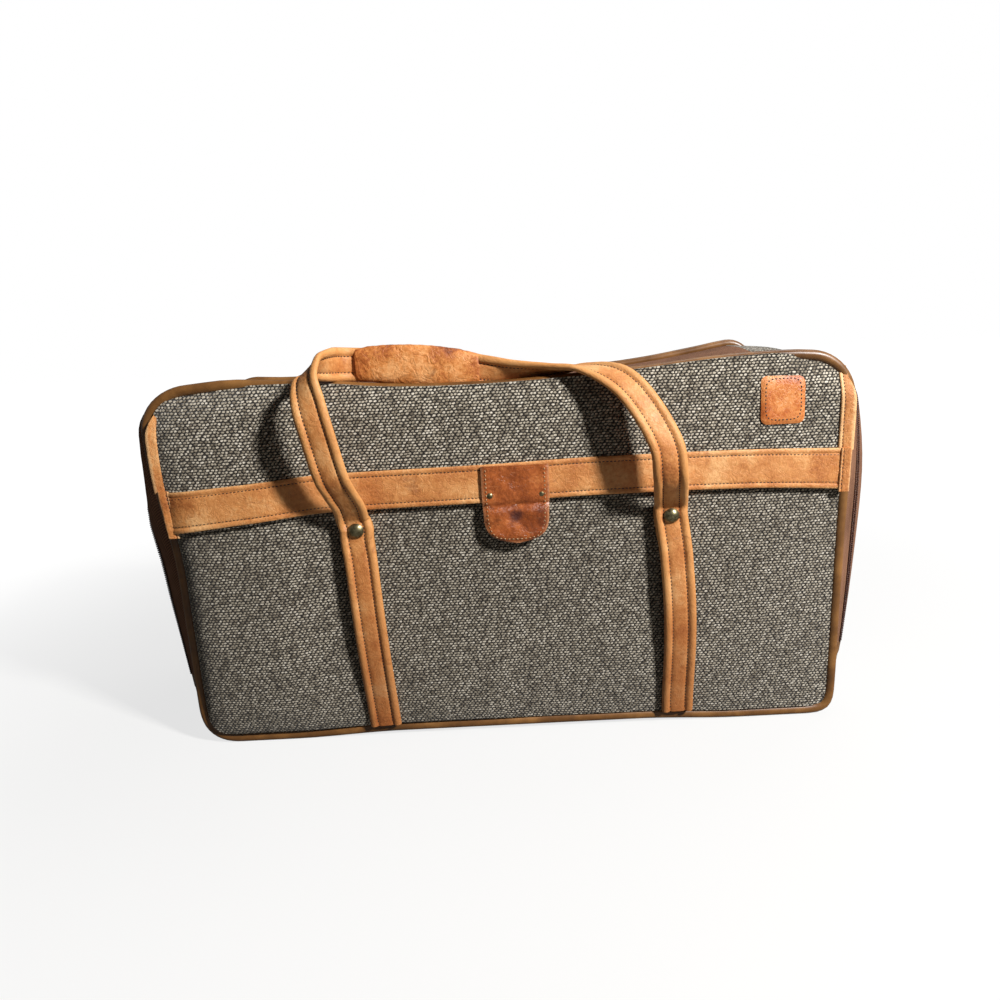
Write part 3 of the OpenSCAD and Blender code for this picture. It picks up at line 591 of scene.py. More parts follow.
def swell(station, y):
    """How far the boxing stands out of the piped outline."""
    x, z, angle = station
    across = min(1.0, abs((y - (lid_edge_y + box_rear_y) / 2) / ((box_rear_y - lid_edge_y) / 2)))
    height = max(0.0, math.sin(math.pi * min(1.0, max(0.0, (z - base_z) / case_h))))
    full = height ** (0.25 if z > case_mid_z else 0.42)
    if x < 0:
        fuller = left_fuller * blend_in((z - left_fuller_from_z) / left_fuller_over)
        fuller += left_belly * math.exp(-((z - left_belly_z) / left_belly_h) ** 2)
        fuller -= left_flatter * blend_in((left_flatter_below_z - z) / left_flatter_over)
    else:
        fuller = right_fuller + right_belly * math.exp(-((z - right_belly_z) / right_belly_h) ** 2)
    bulge = (side_bulge + fuller) * full * abs(math.cos(angle)) ** (2.2 if z > case_mid_z else 0.8)
    sideways = (1 - across ** (left_roundness if x < 0 else right_roundness)) * bulge
    downwards = (1 - across ** base_roundness) * (base_sag + box_inset) * max(0.0, -math.sin(angle))
    return sideways + downwards


def crowding(start, end, count):
    """Steps that crowd towards the end."""
    return [start + (end - start) * math.sin(math.pi / 2 * k / count) for k in range(count + 1)]


def drifted(y, angle):
    """Down the sides the zip is pulled forward, onto the crest of the swelling."""
    near = blend_in(1 - abs(y - coil_y) / tape_w)
    return y - zip_drift * near * math.cos(angle) ** 2


def top_dip(y, angle):
    """The slack top sinks between the zip and the rear piping."""
    return top_dip_depth * blend_in((y - top_dip_from_y) / top_dip_over) * max(0.0, math.sin(angle)) ** 2


def boxing_grid(stations, ys, inset):
    grid = []
    for station in stations:
        x, z, angle = station
        row = []
        for level_y in ys:
            y = drifted(level_y, angle)
            out = swell(station, y) - top_dip(y, angle) - inset
            row.append(Vector((x + out * math.cos(angle), y, max(z + out * math.sin(angle), 0))))
        grid.append(row)
    return grid


lining_ring = (
    left_low[4:] + straight_side(-1, arc_low_z, arc_high_z, 14)[1:-1] + left_high
    + [(x, top_z, math.pi / 2) for x in steps(-arc_x, arc_x, 20)][1:-1] + right_high
    + straight_side(1, arc_high_z, arc_low_z, 14)[1:-1] + right_low[:-4]
)
lining_ys = crowding(tape_rear_y + seam_gap, rear_y - panel_t - 2 * seam_gap - lining_t, 14)
lining_inset = box_inset + boxing_t + 2 * seam_gap + 0.3
boxing_lining_grid = boxing_grid(lining_ring, lining_ys, lining_inset)
boxing_lining = cloth_piece("boxing_lining_cloth", [settle(boxing_lining_grid)], lining_t)
fit(boxing_lining, lining_cloth, "case", ["boxing_lining"])

board_low, board_high = boxing_t + seam_gap, boxing_t + seam_gap + 3
board_grid_points = [
    [Vector((x, y, board_low)) for y in steps(-base_flat_y, base_flat_y, 10)]
    for x in steps(-arc_x, arc_x, 20)
]
base_board = cloth_piece("base_board_covered", [board_grid_points], board_high - board_low)
soften = base_board.modifiers.new("rounded edge", "BEVEL")
soften.width = 1.0 * MM
soften.segments = 2
soften.limit_method = "ANGLE"
fit(base_board, lining_cloth, "case", ["base_board"])

# Piping
# A round welt of brown vinyl over a cord is sewn into the seam between each panel and the boxing.
# Where the case is soft the front one stands higher towards both corners, the rear one at its right.


def sweep(name, way, profile, closed=False):
    """A closed skin strung along a way of (point, width direction, facing direction)."""
    count = len(way)
    vertices, faces, across = [], [], []
    lengths = [0.0]
    for k in range(1, count + (1 if closed else 0)):
        lengths.append(lengths[-1] + (way[k % count][0] - way[k - 1][0]).length)
    for k, (point, wide, facing) in enumerate(way):
        shape = profile(k) if callable(profile) else profile
        vertices += [point + wide * w + facing * h for w, h in shape]
        across += [w for w, h in shape]
        around = len(shape)
    for k in range(count if closed else count - 1):
        a, b = k * around, ((k + 1) % count) * around
        for j in range(around):
            n = (j + 1) % around
            faces.append((a + j, a + n, b + n, b + j))
    if not closed:
        faces.append(tuple(reversed(range(around))))
        faces.append(tuple(range((count - 1) * around, count * around)))
    made = plain_object(name, vertices, faces)
    layer = made.data.uv_layers.new(name="cloth")
    for polygon in made.data.polygons:
        rows = {made.data.loops[i].vertex_index // around for i in polygon.loop_indices}
        wraps = closed and 0 in rows and count - 1 in rows
        for i in polygon.loop_indices:
            vertex = made.data.loops[i].vertex_index
            row = vertex // around
            length = lengths[count] if wraps and row == 0 else lengths[row]
            layer.data[i].uv = (length * MM, across[vertex] * MM)
    made.data.polygons.foreach_set("use_smooth", [True] * len(made.data.polygons))
    made.data.set_sharp_from_angle(angle=math.radians(60))
    return made


def turn_out(piece):
    """Turns every face outwards where a skin came out reversed."""
    mesh = piece.data
    volume = 0.0
    for polygon in mesh.polygons:
        volume += polygon.normal.dot(polygon.center) * polygon.area
    if volume < 0:
        mesh.flip_normals()
    return piece


outline_ring = (
    right_low[:-1] + [(x, base_z, -math.pi / 2) for x in steps(arc_x, -arc_x, 40)][:-1] + left_low[:-1]
    + straight_side(-1, arc_low_z, arc_high_z, 16)[:-1] + left_high[:-1]
    + [(x, top_z, math.pi / 2) for x in steps(-arc_x, arc_x, 40)][:-1] + right_high[:-1]
    + straight_side(1, arc_high_z, arc_low_z, 16)[:-1]
)


def piping_way(y):
    """The middle line of a piping ring, with its slight wander."""
    way = []
    for x, z, angle in outline_ring:
        out = Vector((math.cos(angle), 0, math.sin(angle)))
        wander = 0.35 * noise.noise(Vector((x / 40, y, z / 40)))
        point = Vector((x, y, z)) - out * (piping_r - wander * (z > 20))
        way.append((settled(point), out, Vector((0, -1 if y < 0 else 1, 0))))
    return way


welt = [
    (piping_r * math.cos(a) * (1.0 if math.cos(a) > 0 else 1.15), piping_r * math.sin(a))
    for a in steps(0, 2 * math.pi, 20)[:-1]
]

# soft vinyl, calendered with a faint grain: brown, half gloss, with paler rubbed patches
vinyl, tree, shader = new_finish("brown_vinyl_welt", 0.38)
spot = add_node(tree, "ShaderNodeTexCoord", {}, {})
rubbed = add_node(tree, "ShaderNodeTexNoise", {}, {
    "Vector": spot.outputs["Object"], "Scale": 1 / (28 * MM), "Detail": 5.0, "Roughness": 0.6,
})
pebble = add_node(tree, "ShaderNodeTexNoise", {}, {
    "Vector": spot.outputs["Object"], "Scale": 1 / (1.1 * MM), "Detail": 2.0,
})
brown = add_node(tree, "ShaderNodeValToRGB", {"stops": [
    (0.25, "#4E3117"), (0.5, "#6E4821"), (0.72, "#8E6231"), (0.9, "#B08752"),
]}, {0: rubbed.outputs[0]})
tree.links.new(brown.outputs[0], shader.inputs["Base Color"])
gloss = add_node(tree, "ShaderNodeMapRange", {}, {
    "Value": rubbed.outputs[0], "From Min": 0.3, "From Max": 0.8, "To Min": 0.3, "To Max": 0.52,
})
tree.links.new(gloss.outputs[0], shader.inputs["Roughness"])
bump = add_node(tree, "ShaderNodeBump", {}, {
    "Strength": 0.35, "Distance": 0.15 * MM, "Height": pebble.outputs[0],
})
tree.links.new(bump.outputs[0], shader.inputs["Normal"])

rear_piping = turn_out(sweep("rear_piping_welt", piping_way(rear_pipe_y), welt, closed=True))
fit(rear_piping, vinyl, "case", ["rear_piping"])
front_piping = turn_out(sweep("front_piping_welt", piping_way(front_pipe_y), welt, closed=True))
fit(front_piping, vinyl, "lid", ["front_piping"])

# Boxing
# Strips of tweed make the swelling sides and the base. The top, between the zip and the rear piping,
# is brown twill.

high_left = straight_side(-1, zip_end_z - seam_gap, arc_high_z, 14) + left_high[1:]
high_right = right_high[:-1] + straight_side(1, arc_high_z, zip_end_z - seam_gap, 14)
low_left = left_low + [(-half_w, zip_end_z - seam_gap, math.pi)]
low_right = [(half_w, zip_end_z - seam_gap, 0.0)] + right_low
side_ys = crowding(tape_rear_y + seam_gap, box_rear_y, 24)
low_ys = crowding(coil_y, lid_edge_y, 10)[:0:-1] + steps(coil_y, tape_rear_y, 4) + side_ys

for side, high, low in (("left", high_left, low_left), ("right", high_right, low_right)):
    side_boxing = cloth_piece(
        "side_boxing_" + side + "_tweed",
        [settle(boxing_grid(high, side_ys, box_inset)), boxing_grid(low, low_ys, box_inset)],
        boxing_t,
    )
    fit(side_boxing, tweed, "case", ["side_boxing_" + side])


def base_height(y):
    """Underside of the base: flat where it stands, rising to both pipings."""
    return (base_z + box_inset) * blend_in((abs(y) - base_flat_y + 8) / (box_rear_y - base_flat_y + 8))


base_grid = [[Vector((x, y, base_height(y))) for y in low_ys] for x in steps(arc_x, -arc_x, 30)]
bottom_boxing = cloth_piece("bottom_boxing_tweed", [base_grid], boxing_t)
fit(bottom_boxing, tweed, "case", ["bottom_boxing"])

# cotton twill tape: fine slanting ribs of 1.2 mm, pinkish brown, dull
rib_pitch = 1.2
twill, tree, shader = new_finish("brown_cotton_twill", 0.85)
shader.inputs["Specular IOR Level"].default_value = 0.2
cloth = add_node(tree, "ShaderNodeUVMap", {"uv_map": "cloth"}, {})
slanted = add_node(tree, "ShaderNodeMapping", {}, {
    "Vector": cloth, "Rotation": (0, 0, math.radians(35)),
    "Scale": (1 / (rib_pitch * MM), 1 / (rib_pitch * MM), 1),
})
ribs = add_node(tree, "ShaderNodeTexWave", {}, {
    "Vector": slanted, "Scale": one_wave, "Distortion": 1.2, "Detail": 2.0,
})
worn = add_node(tree, "ShaderNodeTexNoise", {}, {"Vector": cloth, "Scale": 1 / (55 * MM), "Detail": 5.0})
shade = add_node(tree, "ShaderNodeMath", {"operation": "MULTIPLY_ADD"}, {
    0: ribs.outputs["Fac"], 1: 0.5, 2: worn.outputs[0],
})
brown = add_node(tree, "ShaderNodeValToRGB", {"stops": [
    (0.3, "#462D20"), (0.65, "#6B4936"), (0.95, "#8D664E"),
]}, {0: shade})
tree.links.new(brown.outputs[0], shader.inputs["Base Color"])
bump = add_node(tree, "ShaderNodeBump", {}, {
    "Strength": 0.7, "Distance": 0.25 * MM, "Height": ribs.outputs["Fac"],
})
tree.links.new(bump.outputs[0], shader.inputs["Normal"])

top_stations = [(x, top_z, math.pi / 2) for x in steps(-arc_x, arc_x, 40)]
top_grid = boxing_grid(top_stations, steps(coil_y + seam_gap, box_rear_y, 20), box_inset)
top_boxing = cloth_piece("top_boxing_twill", [settle(top_grid)], boxing_t)
fit(top_boxing, twill, "case", ["top_boxing"])

# Zip
# A nylon coil zip runs up one side, over the top and down the other. Each half is a twill tape with
# a row of coil turns along its edge; two brass sliders meet on the top, and patches close its ends.

left_zip = straight_side(-1, zip_end_z, arc_high_z, 14)
right_zip = straight_side(1, arc_high_z, zip_end_z, 14)
zip_stations = left_zip + left_high[1:-1] + top_stations + right_high[1:-1] + right_zip
left_count = len(left_zip) + len(left_high) - 1
tape_t = 2
lid_tape_ys = crowding(coil_y - seam_gap, lid_edge_y - seam_gap, 12)
lid_tape_grid = boxing_grid(zip_stations, lid_tape_ys, box_inset)
lid_tape = cloth_piece("lid_tape_twill", [settle(lid_tape_grid)], tape_t)
fit(lid_tape, twill, "lid", ["lid_tape"])
tape_ys = steps(coil_y + seam_gap, tape_rear_y, 6)
case_tape = cloth_piece(
    "case_tape_twill",
    [settle(boxing_grid(zip_stations[:left_count], tape_ys, box_inset)),
     settle(boxing_grid(zip_stations[-left_count:], tape_ys, box_inset))],
    tape_t,
)
fit(case_tape, twill, "case", ["case_tape"])


def bead(name, length, width, height):
    """A small rounded bar along X, to be set many times."""
    vertices, faces = [], []
    sides = 6
    for along, share in ((-0.36, 0.75), (0.0, 1.0), (0.36, 0.75)):
        for k in range(sides):
            a = 2 * math.pi * k / sides
            thick = share * height / 2 * math.sin(a)
            vertices.append((along * length, share * width / 2 * math.cos(a), thick))
    vertices += [(-length / 2, 0, 0), (length / 2, 0, 0)]
    for ring in range(2):
        for k in range(sides):
            a, b = ring * sides + k, ring * sides + (k + 1) % sides
            faces.append((a, b, b + sides, a + sides))
    for k in range(sides):
        n = (k + 1) % sides
        faces.append((3 * sides, n, k))
        faces.append((3 * sides + 1, 2 * sides + k, 2 * sides + n))
    return turn_out(plain_object(name, vertices, faces))


def build_repeat_tree():
    """Nodes that set a small shape at even steps along every line of a mesh and give it its finish."""
    tree = bpy.data.node_groups.new("set_along_line", "GeometryNodeTree")
    for label, kind in (
        ("Line", "Geometry"), ("Step", "Float"), ("Shape", "Object"),
        ("Finish", "Material"), ("Unevenness", "Float"), ("Seed", "Int"),
    ):
        tree.interface.new_socket(label, in_out="INPUT", socket_type="NodeSocket" + kind)
    tree.interface.new_socket("Set", in_out="OUTPUT", socket_type="NodeSocketGeometry")
    given = add_node(tree, "NodeGroupInput", {}, {})
    line = add_node(tree, "GeometryNodeMeshToCurve", {}, {0: given.outputs["Line"]})
    points = add_node(tree, "GeometryNodeCurveToPoints", {"mode": "LENGTH"}, {
        "Curve": line, "Length": given.outputs["Step"],
    })
    outward = add_node(tree, "GeometryNodeInputNamedAttribute", {"data_type": "FLOAT_VECTOR"}, {
        "Name": "outward",
    })
    turned = add_node(tree, "FunctionNodeAxesToRotation", {"primary_axis": "Z", "secondary_axis": "X"}, {
        0: outward, 1: points.outputs["Tangent"],
    })
    twist = add_node(tree, "FunctionNodeRandomValue", {"data_type": "FLOAT"}, {
        2: -1.0, 3: 1.0, "Seed": given.outputs["Seed"],
    })
    angle = add_node(tree, "ShaderNodeMath", {"operation": "MULTIPLY"}, {
        0: twist.outputs[1], 1: given.outputs["Unevenness"],
    })
    spin = add_node(tree, "ShaderNodeCombineXYZ", {}, {2: angle})
    spun = add_node(tree, "FunctionNodeRotateRotation", {"rotation_space": "LOCAL"}, {0: turned})
    as_turn = add_node(tree, "FunctionNodeEulerToRotation", {}, {0: spin})
    tree.links.new(as_turn.outputs[0], spun.inputs[1])
    shape = add_node(tree, "GeometryNodeObjectInfo", {"transform_space": "ORIGINAL"}, {
        0: given.outputs["Shape"],
    })
    placed = add_node(tree, "GeometryNodeInstanceOnPoints", {}, {
        "Points": points.outputs["Points"], "Instance": shape.outputs["Geometry"], "Rotation": spun,
    })
    real = add_node(tree, "GeometryNodeRealizeInstances", {}, {0: placed})
    dressed = add_node(tree, "GeometryNodeSetMaterial", {}, {
        "Geometry": real, "Material": given.outputs["Finish"],
    })
    result = tree.nodes.new("NodeGroupOutput")
    tree.links.new(dressed.outputs[0], result.inputs[0])
    return tree


repeat_tree = build_repeat_tree()


def set_along(name, lines, shape, step, finish, unevenness=0.0, seed=1):
    """One plain mesh of a small shape set along lines, each a list of (point in mm, outward)."""
    vertices, edges, outwards = [], [], []
    for line in lines:
        first = len(vertices)
        vertices += [point * MM for point, out in line]
        outwards += [component for point, out in line for component in out]
        edges += [(k, k + 1) for k in range(first, len(vertices) - 1)]
    mesh = bpy.data.meshes.new(name)
    mesh.from_pydata(vertices, edges, [])
    mesh.attributes.new("outward", "FLOAT_VECTOR", "POINT").data.foreach_set("vector", outwards)
    made = bpy.data.objects.new(name, mesh)
    bpy.context.scene.collection.objects.link(made)
    modifier = made.modifiers.new("set along", "NODES")
    modifier.node_group = repeat_tree
    values = {
        "Step": step * MM, "Shape": shape, "Finish": finish, "Unevenness": unevenness, "Seed": seed,
    }
    for item in repeat_tree.interface.items_tree:
        if item.name in values:
            modifier[item.identifier] = values[item.name]
    view_layer = bpy.context.view_layer
    view_layer.update()
    evaluated = made.evaluated_get(bpy.context.evaluated_depsgraph_get())
    plain = bpy.data.meshes.new_from_object(evaluated)
    made.modifiers.clear()
    made.data = plain
    made.data.polygons.foreach_set("use_smooth", [True] * len(made.data.polygons))
    return made


# nylon coil: dark red-brown monofilament, half gloss, a little paler where the sliders rub
coil_nylon, tree, shader = new_finish("dark_nylon_coil", 0.35)
spot = add_node(tree, "ShaderNodeTexCoord", {}, {})
rubbed = add_node(tree, "ShaderNodeTexNoise", {}, {
    "Vector": spot.outputs["Object"], "Scale": 1 / (6 * MM), "Detail": 4.0,
})
dark = add_node(tree, "ShaderNodeValToRGB", {"stops": [
    (0.3, "#2A110B"), (0.6, "#40201A"), (0.85, "#5E3A32"),
]}, {0: rubbed.outputs[0]})
tree.links.new(dark.outputs[0], shader.inputs["Base Color"])
bump = add_node(tree, "ShaderNodeBump", {}, {
    "Strength": 0.3, "Distance": 0.1 * MM, "Height": rubbed.outputs[0],
})
tree.links.new(bump.outputs[0], shader.inputs["Normal"])

coil_pitch = 1.7
coil_apart = coil_w / 4
coil_lift = 0.35
coil_turn = bead("coil_turn", 1.35, 3.6, 1.9)
for name, y, body in (("lid_coil", coil_y - coil_apart, "lid"), ("case_coil", coil_y + coil_apart, "case")):
    line = []
    for x, z, angle in zip_stations:
        run_y = drifted(y, angle)
        out = swell((x, z, angle), run_y) - box_inset + coil_lift
        outward = Vector((math.cos(angle), 0, math.sin(angle)))
        shifted = Vector((x, run_y, z)) + outward * out
        line.append((shifted, outward))
    coil = set_along(name + "_turns", [line], coil_turn, coil_pitch, coil_nylon)
    fit(coil, None, body, [name])
bpy.data.objects.remove(coil_turn)

zip_end_h, zip_end_half_w, zip_end_t = 11, 8, 1.2
zip_end_ys = steps(coil_y - zip_end_half_w, coil_y + zip_end_half_w, 8)
for side in (1, -1):
    stations = [
        (side * half_w, z, 0.0 if side > 0 else math.pi)
        for z in steps(zip_end_z + 0.5, zip_end_z - zip_end_h - 1, 6)
    ]
    zip_end_grid = boxing_grid(stations, zip_end_ys, box_inset - 0.4)
    zip_end = cloth_piece("zip_end_" + ("right" if side > 0 else "left"), [zip_end_grid], zip_end_t)
    soften = zip_end.modifiers.new("rounded edge", "BEVEL")
    soften.width = 0.5 * MM
    soften.segments = 2
    soften.limit_method = "ANGLE"
    fit(zip_end, vinyl, "case", ["zip_ends"])

# Metal parts of the zip, the rivets and the snap
# Sliders, pulls, domed rivets and the snap under the tongue are pressed brass, left to darken.

# antique brass, pressed and lacquered: grey-green gold, darker in its pits, polished on its rubbed crowns
brass, tree, shader = new_finish("antique_brass_pressed", 0.28, 1.0)
spot = add_node(tree, "ShaderNodeTexCoord", {}, {})
age = add_node(tree, "ShaderNodeTexNoise", {}, {
    "Vector": spot.outputs["Object"], "Scale": 1 / (2.5 * MM), "Detail": 6.0, "Roughness": 0.65,
})
gold = add_node(tree, "ShaderNodeValToRGB", {"stops": [
    (0.3, "#3C3524"), (0.5, "#7C7355"), (0.68, "#A39A78"), (0.85, "#C5BC9A"),
]}, {0: age.outputs[0]})
tree.links.new(gold.outputs[0], shader.inputs["Base Color"])
dullness = add_node(tree, "ShaderNodeMapRange", {}, {
    "Value": age.outputs[0], "From Min": 0.3, "From Max": 0.75, "To Min": 0.5, "To Max": 0.2,
})
tree.links.new(dullness.outputs[0], shader.inputs["Roughness"])
bump = add_node(tree, "ShaderNodeBump", {}, {
    "Strength": 0.25, "Distance": 0.1 * MM, "Height": age.outputs[0],
})
tree.links.new(bump.outputs[0], shader.inputs["Normal"])

for name in (
    "slider_left", "slider_right", "pull_left", "pull_right",
    "front_rivets", "rear_rivets", "tongue_rivets", "snap_stud", "snap_socket",
):
    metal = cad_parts[name]
    metal.data.materials.clear()
    metal.data.materials.append(brass)

# Front panel and pocket
# The lid's board is covered with tweed. A tweed pocket panel is sewn over it, its mouth bound with
# a strip of brown vinyl under the flap.

face_low_z = base_z + piping_d + 1
face_mid_z = (base_z + top_z + 1) / 2
face_half_z = face_mid_z - face_low_z
face_half_w = half_w - piping_d + 1
pocket_crown = 6.5
# the stuffed pocket stands prouder towards its left edge, beyond this place across
left_shoulder, shoulder_from_x, shoulder_over = 8, -135, 60
pocket_t = 2.2
pocket_mouth_z = top_z - 82


def crown(x, z):
    """How far the soft face stands off the front board; it rounds over quickly at its left side."""
    up = 1 - min(1, abs(z - face_mid_z) / face_half_z) ** 4
    if x < 0:
        shoulder = left_shoulder * blend_in((shoulder_from_x - x) / shoulder_over)
        return (pocket_crown + shoulder) * (1 - min(1, abs(x) / face_half_w) ** 30) * up ** 0.6
    return pocket_crown * (1 - min(1, abs(x) / face_half_w) ** 4) * up


def face_y(x, z, off):
    return front_y - seam_gap - crown(x, z) - off


front_board = cloth_piece(
    "front_panel_tweed", [settle(board_grid(front_y, piping_d - 2.5, -1, 0.0))], panel_t - 1, "face"
)
fit(front_board, tweed, "lid", ["front_panel"])


def sine_steps(count):
    """Steps from -1 to 1 that crowd towards both ends."""
    return [math.sin(a) for a in steps(-math.pi / 2, math.pi / 2, count)]


def face_grid(heights, r, off, wrinkle, cols=56):
    grid = []
    for z in heights:
        row = []
        for u in sine_steps(cols):
            x = u * face_edge(z, r, u)
            ripple = uneven(x, z, wrinkle, 7.0) * (1 - u ** 4)
            row.append(Vector((x, face_y(x, z, off) - ripple, z)))
        grid.append(row)
    return grid


pocket_r = corner_r - piping_d - 1
pocket_heights = (
    [arc_low_z - pocket_r * math.cos(a) for a in steps(0, math.pi / 2, 14)]
    + steps(arc_low_z, pocket_mouth_z, 24)[1:]
)
pocket = cloth_piece(
    "pocket_tweed", [settle(face_grid(pocket_heights, pocket_r, pocket_t, 0.9))], pocket_t, "face"
)
# the pocket's tweed is the same cloth with fewer pale flecks: painted shade, darker than the flap above
pocket_tweed = make_tweed("wool_tweed_painted_shade", 0.8)
fit(pocket, pocket_tweed, "lid", ["pocket_panel"])

hem_heights = steps(pocket_mouth_z + seam_gap, pocket_mouth_z + 3, 4)
hem_grid = face_grid(hem_heights, corner_r - piping_d - 5.5, pocket_t + 0.1, 0.9)
hem = cloth_piece("pocket_mouth_binding", [settle(hem_grid)], pocket_t)
fit(hem, vinyl, "lid", ["pocket_hem"])

# Flap
# A tweed flap lined with tan cloth hangs from the top seam over the pocket's mouth. Leather binds
# its sides, a leather band is sewn along its lower edge, and a small plain patch near the corner.

flap_off = pocket_t + 0.6
flap_lining_t = 0.9
flap_t = 2.2
flap_front_off = flap_off + flap_lining_t + flap_t
leather_t = 1.3
flap_r = corner_r - 8
# the flap's left edge is cut back to this distance from the middle
flap_left = 258
flap_low_z = top_z - 93
band_h = 30
flap_hinge_z = top_z - piping_d - 4
flap_seam_z = top_z - 5.5
flap_bend = ("flap", (0, front_y, flap_hinge_z + 6), (0, front_y, flap_hinge_z - 2))


def over_piping(x):
    """1 where the flap hides the top piping, 0 where it is tucked in beneath it."""
    return blend_in((x + 235) / 90) * blend_in((235 - x) / 30)


def flap_sink(x, z):
    """The flap curls in to the seam that runs round the top, less where it lies over the piping."""
    beyond = min(20.0, max(0.0, abs(x) - arc_x))
    seam_z = arc_high_z + math.sqrt(corner_r ** 2 - beyond ** 2)
    return (6.5 - 4.6 * over_piping(x)) * blend_in((z - seam_z + 28) / 23) ** 1.5


# how far the soft flap's lower edge hangs below its level, at places across it
flap_edge_drop = ((-262, 12), (-200, 6.5), (-145, 2.2), (0, -0.5), (71, -1.8), (180, -0.5), (262, 3.4))


def hung(point):
    """Where a point of the flap really lies."""
    share = max(0.0, (top_z - point.z) / (top_z - flap_low_z - band_h / 2))
    lies = settled(point)
    cover = 3.6 * over_piping(point.x) * blend_in((point.z - 240) / 50)
    return Vector((lies.x, lies.y, lies.z - read_between(flap_edge_drop, point.x) * share + cover))


def hang(grid):
    return [[hung(point) for point in row] for row in grid]


def flap_grid(heights, r, off, cols=56):
    grid = []
    for z in heights:
        edge = face_edge(min(z, arc_high_z + r - 0.5), r)
        row = []
        for u in sine_steps(cols):
            x = u * (min(edge, flap_left) if u < 0 else edge)
            ripple = uneven(x, z, 0.7, 7.0) * (1 - u ** 4)
            row.append(Vector((x, face_y(x, z, off) - ripple + flap_sink(x, z), z)))
        grid.append(row)
    return grid


def corner_heights(low, high):
    """Heights up the flap, closer together where its corners turn."""
    heights = steps(low, arc_high_z, 10)
    turn = flap_seam_z - arc_high_z
    heights += [arc_high_z + turn * math.sin(a) for a in steps(0, math.pi / 2, 16)[1:]]
    return [z for z in heights if z < high - 0.4] + [high]


flap_heights = corner_heights(flap_low_z + 0.5, flap_seam_z)
flap_front_grid = flap_grid(flap_heights, flap_r + 2.5, flap_front_off)
flap = cloth_piece("flap_tweed_cloth", [hang(flap_front_grid)], flap_t, "face")
fit(flap, tweed, "lid", ["flap_tweed", "flap_roll"], flap_bend)
flap_back_grid = flap_grid(flap_heights, flap_r + 1.5, flap_off + flap_lining_t)
flap_back = cloth_piece("flap_lining_cloth", [hang(flap_back_grid)], flap_lining_t, "face")
fit(flap_back, lining_cloth, "lid", ["flap_lining"], flap_bend)


# natural tan leather, oiled and worn: pale along its rolled and folded edges, orange-tan between,
# with pores, fine creases, scuffs and darker hand stains; painted shade can darken it towards the floor
# heights in mm between which painted shade darkens the leather towards the floor
low_shade_top_z, low_shade_low_z = 190, 20
# for leather without a paler edge: farther out than any of its pieces is wide
no_edge_start, no_edge_end = 900, 950


